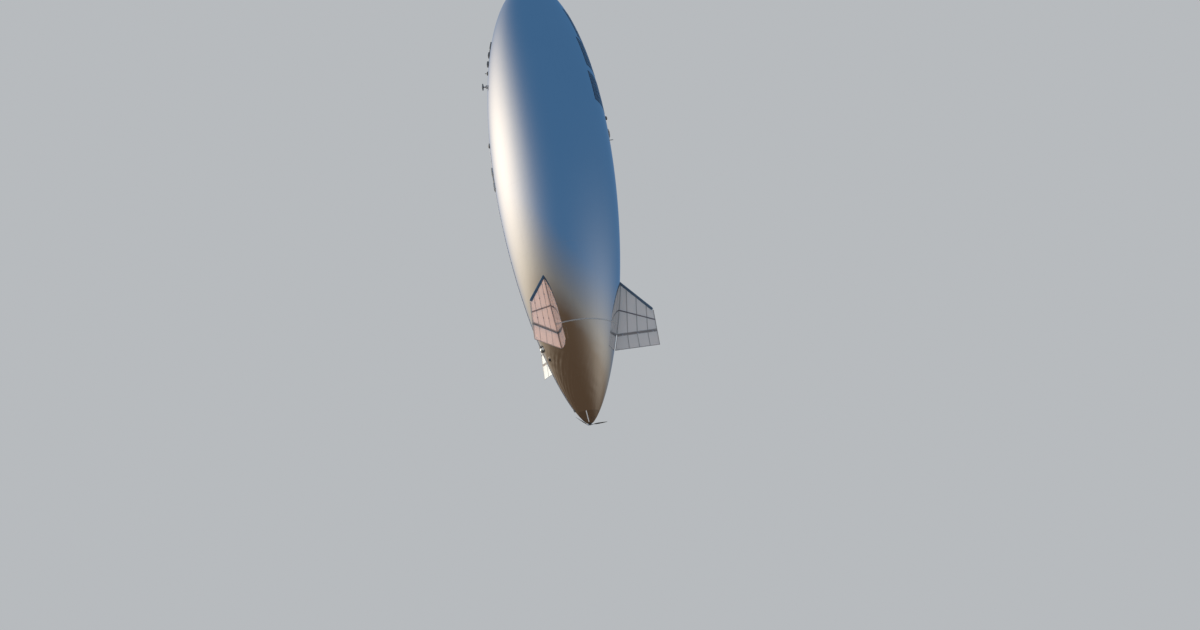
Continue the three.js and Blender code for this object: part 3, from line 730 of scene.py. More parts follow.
def build_hub():
    hub = Piece("propeller_hub_spinner", "equipment", body="propeller", stands_for=["propeller_hub"])
    turn = spin(PROPELLER_TURN) @ up_axis(0)
    profile = [(0.0, -0.022), (0.014, -0.0215), (0.030, -0.019), (0.048, -0.013), (0.064, -0.005),
               (0.077, 0.003), (0.085, 0.011), (HUB_RADIUS, 0.018), (HUB_RADIUS, 0.038),
               (HUB_RADIUS - 0.003, 0.042), (0.028, 0.042), (0.025, 0.044), (0.025, 0.085), (0.0, 0.085)]
    hub.add(lathe(profile, 64), MOTOR_PAINT, turn)
    for side in (0, math.pi):
        arm = turn @ spin(side)
        for cheek in (-1, 1):
            middle = cheek * (FORK_SLOT_HALF + CHEEK_HALF)
            plate = [(0.058, -0.022), (BLADE_PIN_REACH, -CHEEK_RADIUS)]
            end = [(BLADE_PIN_REACH + CHEEK_RADIUS * math.sin(a), -CHEEK_RADIUS * math.cos(a))
                   for a in np.linspace(0.3, math.pi - 0.3, 8)]
            outline = [*plate, *end, (BLADE_PIN_REACH, CHEEK_RADIUS), (0.058, 0.022)]
            rings = []
            for inset, y in ((0.002, -0.0062), (0, -0.0045), (0, 0.0045), (0.002, 0.0062)):
                shrink = 1 - inset / 0.03
                rings.append([(x - inset if x > 0.1 else x, middle + y, BLADE_PIN_STATION + z * shrink)
                              for x, z in outline])
            hub.add(loft(rings), ALLOY, arm)
        pin = shift(BLADE_PIN_REACH, 0, BLADE_PIN_STATION) @ spin(math.pi / 2, "X")
        rod = lathe([(0, -0.0254), (0.0088, -0.0254), (0.009, -0.025), (0.009, 0.025), (0.0088, 0.0254),
                     (0, 0.0254)], 24)
        hub.add(rod, STEEL, arm @ pin)
    for spot in ring_spots(6, 0.045, -0.0135, first=0.5):
        hub.bolts(0.0045, 0.0045, turn @ spot, [spin(math.pi, "X")], washer=False)
    hub.make()


# How many points go round a blade's section or a leading edge's
SECTION_SIDES = 28
# Each station of a blade: span, chord, thickness, pitch in degrees
BLADE_SECTIONS = [(0.062, 0.034, 0.022, 0), (0.100, 0.045, 0.022, -18), (0.150, 0.070, 0.020, -34),
                  (0.240, 0.102, 0.019, -31), (0.330, 0.124, 0.017, -27), (0.440, 0.126, 0.015, -23.5),
                  (0.560, 0.118, 0.012, -20), (0.660, 0.106, 0.0105, -18), (0.760, 0.092, 0.009, -16),
                  (0.830, 0.074, 0.0075, -15), (0.870, 0.058, 0.006, -14), (0.892, 0.038, 0.0048, -13.3),
                  (0.900, 0.024, 0.004, -13)]


def blade_surface():
    """A cambered blade through its sections, each an airfoil loop."""
    table = np.array(BLADE_SECTIONS)
    spans = np.concatenate([np.linspace(0.062, 0.8, 30), np.linspace(0.815, 0.9, 12)])
    chord, thick, pitch = (np.interp(spans, table[:, 0], table[:, k]) for k in (1, 2, 3))
    turn = 2 * np.pi * np.arange(SECTION_SIDES) / SECTION_SIDES
    rings = []
    for span, c, t, tilt in zip(spans, chord, thick, np.radians(pitch)):
        along = c / 2 * np.cos(turn)
        shape = min(1.0, max(0.0, (span - 0.08) / 0.12))
        taper = 1 - shape * 0.45 * (0.5 - 0.5 * np.cos(turn))
        depth = t / 2 * np.sin(turn) * taper + shape * 0.12 * t * (1 - (2 * along / c) ** 2)
        depth = np.clip(depth, -t / 2, t / 2)
        rings.append(np.stack([np.full(SECTION_SIDES, span), along * math.cos(tilt) - depth * math.sin(tilt),
                               along * math.sin(tilt) + depth * math.cos(tilt)], axis=-1))
    return loft(rings)


def build_blades():
    for name, side, fold in (("blade_open", 0.0, 0.0), ("blade_folded", math.pi, BLADE_FOLD)):
        blade = Piece(f"{name}_carbon", "composite", body=name, stands_for=[name])
        place = spin(PROPELLER_TURN + side) @ up_axis(0)
        place = place @ shift(BLADE_PIN_REACH, 0, BLADE_PIN_STATION)
        place = place @ spin(-fold, "Y")
        blade.add(blade_surface(), CARBON, place)
        flat = spin(math.pi / 2, "X")
        ring = [(0.0095, -0.012), (0.0215, -0.012), (0.022, -0.0115), (0.022, 0.0115), (0.0215, 0.012),
                (0.0095, 0.012)]
        blade.add(hoop(ring, 40), ALLOY, place @ flat)
        shank = [rounded_outline(0.024, 0.028, 0.005, x) for x in (0.0195, 0.045, 0.075)]
        lying = Matrix(((0, 0, 1, 0), (1, 0, 0, 0), (0, 1, 0, 0), (0, 0, 0, 1)))
        blade.add(loft(shank), ALLOY, place @ lying)
        blade.make()


# Fins, drawn with the span along X, the thickness along Y and the station along Z
LEADING_ROOT_STATION = 8.76
LEADING_TIP = (4.905, 6.71)
TRAILING_TIP = (4.92, 4.315)
TRAILING_ROOT_STATION = 4.325
LEADING_CHORD = 0.095
LEADING_HALF = 0.062
SPAR_ROOT_STATION = 7.04
SPAR_TIP_STATION = 5.94
HINGE = 5.24
RUDDER_NOSE = 0.046
REAR_SPAR = HINGE + RUDDER_NOSE + 0.012
RUDDER_ROOT_GAP = 0.045
HINGE_SPANS = (2.76, 3.70, 4.64)
# Span of each rib at the leading edge, at the hinge and at the trailing edge
RIB_SPANS = ((3.46, 3.06, 3.03), (3.98, 3.66, 3.66), (4.51, 4.31, 4.32))
SKIN_HALF = 0.030
SKIN_SAG = 0.009
BAY_STEPS = 7
RIB_HALF_WIDTH = 0.020
SPAR_HALF_WIDTH = 0.036
RIB_HALF = 0.037
SPAR_HALF = 0.043
# How far the bands reach in from the root and the tip, on the fins and on the rudders
FIN_ENDS = (0.045, 0.044)
RUDDER_ENDS = (0.038, 0.040)
REAR_BAND = 0.060
RUDDER_TRIM = 0.030
# Half the rudder's thickness at its front and how much less it is at its rear
RUDDER_FRONT = HINGE - 0.050
RUDDER_HALF = 0.039
RUDDER_TAPER = 0.029
# Half of each slot in the hinge tube, where a lug holds the pin
LUG_SLOT_HALF = 0.0244
# Each rib of the lower fins has a lacing button this share of the way from its spar to each end of the skin
BUTTON_SHARE = 0.5
# Between which stations the ribs cross the leading edge, the spar and the trailing edge
LEADING_REACH = (5.3, 8.8)
SPAR_REACH = (5.3, 7.2)
TRAILING_REACH = (4.0, 4.6)

leading_root = (float(hull_radius(LEADING_ROOT_STATION)), LEADING_ROOT_STATION)
leading_heading = math.atan2(LEADING_TIP[0] - leading_root[0], LEADING_TIP[1] - leading_root[1])
leading_inward = (math.cos(leading_heading) * LEADING_CHORD, -math.sin(leading_heading) * LEADING_CHORD)


def line_through(first, second):
    """Span as a function of station on the line through two [span, station] points."""
    slope = (second[0] - first[0]) / (second[1] - first[1])
    return lambda station: first[0] + slope * (station - first[1])


def last_where(holds, low, high):
    """The station between low and high up to which a test holds."""
    for _ in range(50):
        middle = (low + high) / 2
        if holds(middle):
            low = middle
        else:
            high = middle
    return (low + high) / 2


def crossing(first, second, low, high):
    """The station between low and high where two such functions give the same span."""
    sign = math.copysign(1, first(low) - second(low))
    return last_where(lambda station: sign * (first(station) - second(station)) > 0, low, high)


inner_leading_line = line_through(*[(x + leading_inward[0], z + leading_inward[1])
                                    for x, z in (leading_root, LEADING_TIP)])
tip_line = line_through(LEADING_TIP, TRAILING_TIP)
trailing_station = line_through((TRAILING_ROOT_STATION, 1.5), (TRAILING_TIP[1], TRAILING_TIP[0]))
spar_line = line_through((float(hull_radius(SPAR_ROOT_STATION)) - 0.4, SPAR_ROOT_STATION),
                         (tip_line(SPAR_TIP_STATION), SPAR_TIP_STATION))


def rib_lines():
    """Root, ribs and tip as functions of station, from the hull out."""
    ribs = []
    for fore, middle, _ in RIB_SPANS:
        share = (fore - leading_root[0]) / (LEADING_TIP[0] - leading_root[0])
        top = (fore, leading_root[1] + share * (LEADING_TIP[1] - leading_root[1]))
        ribs.append(line_through(top, (middle, HINGE)))
    return [lambda station: float(hull_radius(station)) + 0.006, *ribs, tip_line]


def rudder_lines():
    """Root, ribs and tip of the rudder as functions of station."""
    ribs = [line_through((middle, HINGE), (aft, TRAILING_TIP[1])) for _, middle, aft in RIB_SPANS]
    return [rudder_root, *ribs, tip_line]


def rudder_root(station):
    return float(hull_radius(station)) + RUDDER_ROOT_GAP * math.hypot(1, float(hull_slope(station)))


def trailing_edge(rib):
    """The station where a rib meets the trailing edge."""
    return last_where(lambda station: station < trailing_station(rib(station)), *TRAILING_REACH)


# Kinds of face; the rib and spar kinds also pick the darker cloths with painted shade
PLAIN, RIB_BAND, SPAR_BAND = 0, 1, 2
BAND_STEP = 0.004


def sheet_columns(bands):
    """Places across a fin: bay, inset at its start and end, share between them, band, and sag."""
    columns = [(0, 0.0, 0.0, 0.0, RIB_BAND, 0.0)]
    for bay, (start, end) in enumerate(zip(bands, bands[1:])):
        columns.append((bay, start, end, 0.0, RIB_BAND, 0.0))
        for step in range(BAY_STEPS + 1):
            k = step / BAY_STEPS
            columns.append((bay, start + BAND_STEP, end + BAND_STEP, k, PLAIN, math.sin(math.pi * k)))
        columns.append((bay, start, end, 1.0, RIB_BAND, 0.0))
    columns.append((len(bands) - 2, 0.0, 0.0, 1.0, RIB_BAND, 0.0))
    return columns


def banded_sheet(rows, bands):
    """A closed skin, drawn in between raised bands over its spars and ribs, with the band of each face.

    Each row has its [span, station] points on the root, ribs and tip, its band, its sag, and half its
    thickness on the skin and on a band. Bands are their widths in from the root and tip and beside ribs.
    """
    columns = sheet_columns(bands)
    sheet = []
    for points, row_band, row_sag, skin, band in rows:
        line = []
        for bay, start, end, k, column_band, sag in columns:
            (x0, z0), (x1, z1) = points[bay], points[bay + 1]
            share = (start + (x1 - x0 - start - end) * k) / (x1 - x0)
            raised = row_band or column_band
            half = band if raised else skin - SKIN_SAG * row_sag * sag
            line.append((x0 + (x1 - x0) * share, half, z0 + (z1 - z0) * share))
        sheet.append(line)
    top = np.array(sheet)
    points, faces = quilt(top, top * np.array([1, -1, 1]))
    kinds = []
    for row in range(len(rows) - 1):
        for column in range(len(columns) - 1):
            kind = max(rows[row][1], rows[row + 1][1], columns[column][4], columns[column + 1][4])
            kinds += [kind, kind]
    kinds += [RIB_BAND] * (len(faces) - len(kinds))
    return (points, faces), kinds


def fin_skin():
    """The fixed skin, in rows from the leading edge past the spar to the hinge."""
    ribs = rib_lines()
    fronts = [crossing(rib, inner_leading_line, *LEADING_REACH) for rib in ribs]
    spars = [crossing(rib, spar_line, *SPAR_REACH) for rib in ribs]
    rear = REAR_SPAR + REAR_BAND
    clear = SPAR_HALF_WIDTH + BAND_STEP

    def row(stations, band=PLAIN, sag=0.0, raised=RIB_HALF):
        points = [(rib(station), station) for rib, station in zip(ribs, stations)]
        return points, band, sag, SKIN_HALF, raised

    rows = []
    for k in np.linspace(0, 1, 11):
        rows.append(row([a + (b + clear - a) * k for a, b in zip(fronts, spars)], sag=math.sin(math.pi * k)))
    for side in (1, -1):
        rows.append(row([b + side * SPAR_HALF_WIDTH for b in spars], SPAR_BAND, raised=SPAR_HALF))
    for k in np.linspace(0, 1, 9):
        behind = [b - clear + (rear + BAND_STEP - b + clear) * k for b in spars]
        rows.append(row(behind, sag=math.sin(math.pi * k)))
    for station in (rear, REAR_SPAR):
        rows.append(row([station] * len(ribs), RIB_BAND))
    return banded_sheet(rows, (FIN_ENDS[0], *[RIB_HALF_WIDTH] * 3, FIN_ENDS[1]))


def disc(span, station, radius, half):
    """A flat button that shows on both faces of a fin."""
    across = shift(span, 0, station) @ spin(math.pi / 2, "X")
    profile = [(0, -half), (0.7 * radius, -half), (radius, -half + 0.006), (radius, half - 0.006),
               (0.7 * radius, half), (0, half)]
    return lathe(profile, 20), across


def fin_place(side):
    return spin(math.radians(FIN_AZIMUTHS[side])) @ up_axis(0)


def leading_edge_surface():
    """The thick blue leading edge, from inside the hull's skin to the tip."""
    run = np.linspace(-0.03, 1.0, 30)
    turn = 2 * np.pi * np.arange(SECTION_SIDES) / SECTION_SIDES
    heading = np.array([math.sin(leading_heading), math.cos(leading_heading)])
    inward = np.array([math.cos(leading_heading), -math.sin(leading_heading)])
    length = math.hypot(LEADING_TIP[0] - leading_root[0], LEADING_TIP[1] - leading_root[1])
    rings = []
    for share in run:
        shrink = 1.0 if share < 0.985 else 0.82
        front = np.array(leading_root) + heading * length * share
        middle = front + inward * LEADING_CHORD
        points = []
        for a in turn:
            chordwise = -shrink * LEADING_CHORD * math.cos(a)
            x, z = middle + inward * chordwise
            points.append((min(x, tip_line(z) + 0.002), shrink * LEADING_HALF * math.sin(a), z))
        rings.append(points)
    return loft(rings)


def build_fins():
    ribs = rib_lines()
    skin, kinds = fin_skin()
    # Faces on rib and spar bands take the cloths with painted shade
    skins = [FIN_CLOTHS[kind] for kind in kinds]
    for side in FIN_AZIMUTHS:
        place = fin_place(side)
        panel = Piece(f"fin_{side}_skin", "fin_cloth", stands_for=[f"fin_{side}_panel"])
        panel.add(skin, skins, place)
        panel.make()
        bones = Piece(f"fin_{side}_fittings", "composite")
        for rib in ribs[1:]:
            inset = 0.022 if rib is ribs[-1] else 0
            for station, radius, half in ((crossing(rib, spar_line, *SPAR_REACH), 0.024, SPAR_HALF),
                                          (REAR_SPAR + 0.030, 0.020, RIB_HALF)):
                button, across = disc(rib(station) - inset, station, radius, half + 0.004)
                bones.add(button, SPAR, place @ across)
        if side != "dorsal":
            for rib in ribs[1:-1]:
                spar = crossing(rib, spar_line, *SPAR_REACH)
                for end in (crossing(rib, inner_leading_line, *LEADING_REACH), REAR_SPAR):
                    station = spar + BUTTON_SHARE * (end - spar)
                    button, across = disc(rib(station), station, 0.044, RIB_HALF + 0.004)
                    bones.add(button, DOT, place @ across)
        for span in HINGE_SPANS:
            eye = lathe([(0.013, -0.024), (0.024, -0.024), (0.024, 0.024), (0.013, 0.024),
                         (0.013, -0.024)], 24)
            bones.add(eye, ALLOY, place @ shift(span, 0, HINGE) @ spin(math.pi / 2, "Y"))
            web = [rounded_outline(0.047, 0.046, 0.004, z) for z in (HINGE + 0.021, REAR_SPAR + 0.02)]
            bones.add(loft(web), ALLOY, place @ shift(span, 0, 0))
        bones.make()
        edge = Piece(f"fin_{side}_nose", "fin_blue", stands_for=[f"fin_{side}_leading_edge"])
        edge.add(leading_edge_surface(), BLUE, place)
        edge.make()


def rudder_skin():
    """The rudder's skin, thinning from the hinge to the trailing edge."""
    lines = rudder_lines()
    ends = [trailing_edge(line) for line in lines]
    rows = []

    def row(share, back, band=PLAIN):
        stations = [RUDDER_FRONT + (end + back - RUDDER_FRONT) * share for end in ends]
        points = [(line(station), station) for line, station in zip(lines, stations)]
        half = RUDDER_HALF - RUDDER_TAPER * (RUDDER_FRONT - stations[2]) / (RUDDER_FRONT - ends[2])
        return points, band, 0.6 * math.sin(math.pi * share), half, half + 0.0025

    for share in np.linspace(0, 1, 12):
        rows.append(row(share, RUDDER_TRIM + BAND_STEP))
    rows.append(row(1.0, RUDDER_TRIM, RIB_BAND))
    rows.append(row(1.0, 0.0, RIB_BAND))
    return banded_sheet(rows, (RUDDER_ENDS[0], *[RIB_HALF_WIDTH] * 3, RUDDER_ENDS[1]))


def rudder_nose_segments():
    """The hinge tube in lengths between the lugs, and the pins that cross the slots."""
    marks = [rudder_root(HINGE) + 0.004]
    for span in HINGE_SPANS:
        marks += [span - LUG_SLOT_HALF, span + LUG_SLOT_HALF]
    marks.append(tip_line(HINGE))
    arc = np.linspace(0, math.pi, 12)
    outline = [(RUDDER_NOSE * math.cos(a), HINGE + RUDDER_NOSE * math.sin(a)) for a in arc]
    outline += [(-0.0415, HINGE - 0.060), (0.0415, HINGE - 0.060)]
    segments = []
    for start, end in zip(marks[::2], marks[1::2]):
        segments.append(loft([[(x, y, z) for y, z in outline] for x in (start, end)]))
    pins = [tube([(span - 0.06, 0, HINGE), (span + 0.06, 0, HINGE)], 0.012, 20) for span in HINGE_SPANS]
    return segments, pins


def build_rudders():
    skin, kinds = rudder_skin()
    # Faces on rib bands take the cloth with painted shade
    skins = [FIN_CLOTHS[kind] for kind in kinds]
    segments, pins = rudder_nose_segments()
    for side in FIN_AZIMUTHS:
        place = fin_place(side)
        body = f"rudder_{side}"
        flap = Piece(f"rudder_{side}_skin", "fin_cloth", body=body, stands_for=[body])
        flap.add(skin, skins, place)
        flap.make()
        bones = Piece(f"rudder_{side}_hinge_tube", "composite", body=body)
        bones.add_all(segments, SPAR, place)
        bones.add_all(pins, STEEL, place)
        bones.make()


# Solar blocks: node, from station, to station, half width, modules along and across
SOLAR_BLOCKS = [
    ("solar_forward", 26.42, 28.95, 1.65, 5, 8),
    ("solar_middle", 23.80, 26.17, 2.02, 5, 10),
    ("solar_aft", 20.92, 23.24, 2.15, 5, 10),
]
MODULE_GAP = 0.028
BACKING_LIFT = 0.004
MODULE_LIFT = 0.011


def conforming_slab(station_low, station_high, left, right, low, high, steps=4):
    """A slab that follows the skin between two stations. Left and right give half widths at each end."""
    stations = np.linspace(station_low, station_high, steps + 1)
    share = np.linspace(0, 1, steps + 1)
    grids = []
    for lift in (high, low):
        grid = []
        for station in stations:
            radius = float(hull_radius(station))
            angles = [math.asin(max(-0.999, min(0.999, (left + (right - left) * k) / radius))) for k in share]
            grid.append(on_skin(station, np.array(angles), lift))
        grids.append(np.array(grid))
    return quilt(*grids)


def build_solar():
    for node, low, high, half, along, across in SOLAR_BLOCKS:
        block = Piece(f"{node}_cells", "solar_cells", stands_for=[node], crease=20)
        for column in range(8):
            left = -half + 2 * half * column / 8
            slab = conforming_slab(low, high, left, left + 2 * half / 8, -0.003, BACKING_LIFT, steps=8)
            block.add(slab, LAMINATE)
        depth = (high - low - MODULE_GAP) / along
        width = (2 * half - MODULE_GAP) / across
        for row in range(along):
            for column in range(across):
                start = low + MODULE_GAP + row * depth
                left = -half + MODULE_GAP + column * width
                slab = conforming_slab(start, start + depth - MODULE_GAP, left, left + width - MODULE_GAP,
                                       0.0, MODULE_LIFT)
                block.add(slab, CELLS)
        block.make()


# Belly equipment. Columns: node, station, length, width, height, kind of top, paints of case and lid
HOUSINGS = [
    ("payload_box_1", 27.76, 0.55, 0.38, 0.145, "fins", (BOX_PAINT, LID_PAINT)),
    ("payload_box_2", 27.035, 0.31, 0.36, 0.175, "lid", (BOX_PAINT, LID_PAINT)),
    ("payload_box_3", 26.29, 0.30, 0.36, 0.175, "lid", (BOX_PAINT, LID_PAINT)),
    # The pale cases below take lids with painted shade
    ("antenna_base", ANTENNA_STATION, 0.20, 0.20, 0.147, "lid", (PALE_PAINT, SHADED_PALE_PAINT)),
    ("power_box_1", 17.65, 0.53, 0.56, 0.095, "fins", (PALE_PAINT, SHADED_PALE_PAINT)),
    ("power_box_2", 17.07, 0.30, 0.46, 0.060, "lid", (PALE_PAINT, SHADED_PALE_PAINT)),
    ("power_box_3", 16.58, 0.49, 0.46, 0.080, "lid", (PALE_PAINT, SHADED_PALE_PAINT)),
]
FOOT = -0.030
# Cable ducts that join boxes to their neighbours: station, length, width, height
DUCTS = [(27.338, 0.305, 0.22, 0.122), (26.660, 0.450, 0.12, 0.075), (17.303, 0.175, 0.12, 0.045),
         (16.873, 0.105, 0.12, 0.045)]


def skin_patch(piece, station, azimuth, length, width, thickness=0.0022):
    """A reinforcing patch with round corners bonded to the film."""
    outline = rounded_outline(width, length, 0.07, steps=5)
    stations = station + outline[:, 1]
    radius = hull_radius(stations)
    angles = azimuth + outline[:, 0] / radius
    middle = on_skin(station, np.full(len(outline), azimuth), thickness)
    rings = [0.999 * middle + 0.001 * on_skin(stations, angles, thickness)]
    for share in (0.25, 0.5, 0.75, 0.985):
        along, around = station + outline[:, 1] * share, azimuth + outline[:, 0] * share / radius
        rings.append(on_skin(along, around, thickness))
    rings.append(on_skin(stations, angles, 0.3 * thickness))
    rings.append(on_skin(stations, angles, -0.003))
    rings.append(on_skin(station + 0.5 * outline[:, 1], azimuth + 0.5 * outline[:, 0] / radius, -0.003))
    piece.add(loft(rings), DOUBLER)


def housing(node, station, length, width, height, kind, paints):
    piece = Piece(f"{node}_case", "equipment", stands_for=[node])
    paint, lid_paint = paints
    place = seat(station, BELLY)
    skin_patch(piece, station, BELLY, length + 0.20, width + 0.18)
    lip = 0.018
    piece.add(box(width - 0.004, length - 0.004, height - lip, 0.010, 0.035, foot=FOOT), paint, place)
    seal = box(width - 0.028, length - 0.028, 0.002, 0.001, 0.030, foot=-0.006)
    top = height - lip
    piece.add(seal, RUBBER, place @ shift(0, 0, top))
    lid_height, bolt_height = (0.006, 0.007) if kind == "fins" else (lip, 0.0041)
    lid = box(width - 0.018, length - 0.018, lid_height, 0.004, 0.030, foot=-0.004)
    piece.add(lid, lid_paint, place @ shift(0, 0, top + 0.0005))
    if kind == "fins":
        count = 1 + round((width - 0.16) / 0.038)
        for index in range(count):
            x = (index - (count - 1) / 2) * (width - 0.16) / (count - 1)
            rib = box(0.009, length - 0.13, lip - 0.004, 0.003, 0.004)
            piece.add(rib, lid_paint, place @ shift(x, 0, top + 0.003))
    for sx in (-1, 1):
        for sy in (-1, 0, 1):
            spot = shift(sx * (width / 2 - 0.030), sy * (length / 2 - 0.032), top + lid_height)
            piece.bolts(0.008, bolt_height, place, [spot])
        flange = box(0.034, length * 0.8, 0.006, 0.002, 0.004, foot=-0.02)
        piece.add(flange, ALLOY, place @ shift(sx * (width / 2 + 0.012), 0, 0.004))
    piece.make()


def connector(piece, place, radius=0.018):
    """A round plug with a stepped collar, sticking out along local Y."""
    lying = place @ spin(-math.pi / 2, "X")
    profile = [(0, -0.01), (radius, -0.01), (radius, 0.012), (radius * 0.8, 0.014), (radius * 0.8, 0.03),
               (radius * 0.5, 0.036), (0, 0.036)]
    piece.add(lathe(profile, 16), STEEL, lying)


def skin_cable(piece, points, radius=0.008):
    """A cable clipped flat to the skin through [station, across] points on the belly."""
    path = []
    for (s0, a0), (s1, a1) in zip(points, points[1:]):
        for k in np.linspace(0, 1, 14, endpoint=False):
            ease = k * k * (3 - 2 * k)
            station = s0 + (s1 - s0) * k
            across = a0 + (a1 - a0) * ease
            path.append(on_skin(station, BELLY + across / float(hull_radius(station)), radius))
    s, a = points[-1]
    path.append(on_skin(s, BELLY + a / float(hull_radius(s)), radius))
    piece.add(tube(path, radius, 10), RUBBER)


def build_belly():
    for row in HOUSINGS:
        housing(*row)
    harness = Piece("belly_harness", "equipment")
    plugs = [(28.035, 0.09, 1), (26.14, 0.09, -1), (26.14, -0.09, -1), (24.54, 0.04, 1), (24.34, 0.0, -1),
             (17.915, 0.15, 1), (17.385, -0.12, -1), (16.335, 0.10, -1)]
    for station, across, heading in plugs:
        place = seat(station, BELLY, 0.036, across)
        connector(harness, place if heading > 0 else place @ spin(math.pi))
    skin_cable(harness, [(26.105, 0.09), (25.80, 0.215), (25.2, 0.215), (24.575, 0.04)])
    skin_cable(harness, [(26.105, -0.09), (25.8, -0.23), (24.2, -0.17), (21.0, -0.05), (19.90, -0.01)])
    skin_cable(harness, [(24.305, 0.0), (23.7, -0.06), (21.6, 0.0), (19.90, 0.03)])
    skin_cable(harness, [(19.62, 0.11), (18.9, 0.12), (17.95, 0.15)], 0.007)
    for station in np.arange(20.6, 24.0, 0.55):
        reach = np.linspace(-0.22, 0.10, 10) / float(hull_radius(station))
        harness.add(girdle(station, 0.010, 0.018, BELLY + reach), DOUBLER)
    for station, length, width, height in DUCTS:
        harness.add(box(width, length, height, 0.012, 0.016, foot=FOOT), BOX_PAINT, seat(station, BELLY))
    harness.make()


def build_dome():
    """The round sensor dome."""
    dome = Piece("payload_dome_cover", "equipment", stands_for=["payload_dome"])
    place = seat(DOME_STATION, BELLY)
    skin_patch(dome, DOME_STATION, BELLY, 0.48, 0.48)
    arc = [(0.160 * math.cos(a), 0.034 + 0.129 * math.sin(a)) for a in np.linspace(0, math.pi / 2 - 0.07, 18)]
    dome.add(lathe([(0, -0.06), (0.160, -0.06), *arc, (0.0, 0.163)], 56), BOX_PAINT, place)
    flange = [(0.156, -0.02), (0.1785, -0.02), (0.1785, 0.010), (0.174, 0.014), (0.161, 0.014),
              (0.156, 0.010)]
    dome.add(hoop(flange, 56), ALLOY, place)
    dome.bolts(0.0055, 0.006, place, ring_spots(12, 0.1695, 0.013))
    dome.make()
    stub = Piece("payload_dome_aerial", "equipment")
    profile = [(0, 0.150), (0.034, 0.150), (0.034, 0.170), (0.027, 0.178), (0.020, 0.184), (0.017, 0.222),
               (0.023, 0.227), (0.023, 0.262), (0.018, 0.269), (0, 0.270)]
    stub.add(lathe(profile, 28), BOX_PAINT, place)
    stub.make()


def build_antenna():
    """The flat plate aerial, its strut and gussets."""
    place = seat(ANTENNA_STATION, BELLY)
    foot, head = 0.1473, 0.3197
    strut = Piece("antenna_strut_tube", "alloy", stands_for=["antenna_strut"])
    profile = [(0, foot), (0.066, foot), (0.066, foot + 0.016), (0.062, foot + 0.020), (0.036, foot + 0.022),
               (0.030, foot + 0.032), (0.030, head - 0.032), (0.036, head - 0.022), (0.062, head - 0.020),
               (0.066, head - 0.016), (0.066, head), (0, head)]
    strut.add(lathe(profile, 32), ALLOY, place)
    for index in range(4):
        turn = spin(math.pi / 2 * index)
        for low, reach in ((foot + 0.020, 1), (head - 0.020, -1)):
            high = low + 0.060 * reach
            outline = [(0.026, low), (0.060, low), (0.060, low + 0.006 * reach), (0.031, high), (0.026, high)]
            gusset = [[(x, y, z) for x, z in outline] for y in (-0.003, 0.003)]
            strut.add(loft(gusset), ALLOY, place @ turn)
        for z, up in ((foot + 0.020, 0), (head - 0.020, math.pi)):
            spot = turn @ shift(0.036, 0.036, z) @ spin(up, "X")
            strut.bolts(0.0055, 0.006, place, [spot])
    lead = [(0.040, 0, foot + 0.02), (0.042, 0.004, 0.21), (0.039, -0.003, 0.26), (0.041, 0, head - 0.02)]
    strut.add(tube(lead, 0.005, 8), RUBBER, place)
    strut.make()
    panel = Piece("antenna_plate_panel", "equipment", stands_for=["antenna_plate"])
    flat = box(0.338, 0.368, 0.032, 0.008, 0.030)
    panel.add(flat, PANEL_PAINT, place @ shift(0, 0, 0.368))
    tray = box(0.310, 0.340, 0.044, 0.004, 0.020)
    panel.add(tray, LID_PAINT, place @ shift(0, 0, 0.327))
    for x in (-0.045, 0.045):
        rib = box(0.016, 0.31, 0.012, 0.002, 0.004)
        panel.add(rib, ALLOY, place @ shift(x, 0, 0.3200))
    panel.bolts(0.006, 0.0045, place, corner_spots(0.145, 0.16, 0.3955))
    panel.make()


def capsule(radius, length, sides=40):
    """A capsule along local Y, centred on the origin."""
    profile = []
    for a in np.linspace(-math.pi / 2, 0, 12):
        profile.append((radius * math.cos(a), -length / 2 + radius * math.sin(a)))
    for a in np.linspace(0, math.pi / 2, 12):
        profile.append((radius * math.cos(a), length / 2 + radius * math.sin(a)))
    points, faces = lathe(profile, sides)
    return points[:, [0, 2, 1]] * np.array([1, 1, -1]), faces


# How much wider across the keel the pod is than it is high
POD_WIDENING = 1.2


def build_aft_pod():
    pod = Piece("aft_pod_shell", "equipment", stands_for=["aft_pod"])
    place = seat(POD_STATION, BELLY)
    skin_patch(pod, POD_STATION, BELLY, 0.54, 0.48)
    wide = Matrix.Diagonal((POD_WIDENING, 1, 1, 1))
    pod.add(capsule(0.124, 0.11), BOX_PAINT, place @ wide)
    for y in (-0.048, 0.048):
        ring, inner = [[[(POD_WIDENING * radius * math.sin(a), y + w, radius * math.cos(a))
                         for a in np.linspace(-1.75, 1.75, 30)] for w in (-0.010, 0.010)]
                       for radius in (0.1258, 0.120)]
        pod.add(quilt(np.array(ring), np.array(inner)), ALLOY, place)
    glass = lathe([(0, 0), (0.028, 0), (0.031, 0.007), (0.027, 0.012), (0.022, 0.014), (0.0, 0.0145)], 28)
    pod.add(glass, RUBBER, place @ shift(0, 0, 0.113))
    pod.make()


# Keel lines: node, from station, to station, half width, thickness
KEEL_RUNS = [("keel_raceway", 17.925, 19.540, 0.045, 0.040), ("keel_conduit", 1.040, 16.320, 0.024, 0.034)]
CLIP_SPACING = 0.52
# How far the keel's cover and its clips stay from the seam
COVER_CLEARANCE = 0.036
CLIP_CLEARANCE = 0.08


def keel_section(half, thickness):
    """Cross-section of a raceway: [across, lift], an arch with a flat foot."""
    arch = [(half * math.cos(a), 0.35 * thickness + 0.65 * thickness * math.sin(a))
            for a in np.linspace(0, math.pi, 11)]
    return [(half, -0.004), *arch, (-half, -0.004)]


def keel_run(low, high, half, thickness, spacing=0.12):
    section = keel_section(half, thickness)
    steps = max(2, int((high - low) / spacing))
    rings = []
    for station in np.linspace(low, high, steps):
        radius = float(hull_radius(station))
        rings.append([on_skin(station, BELLY + across / radius, lift) for across, lift in section])
    return loft(rings)


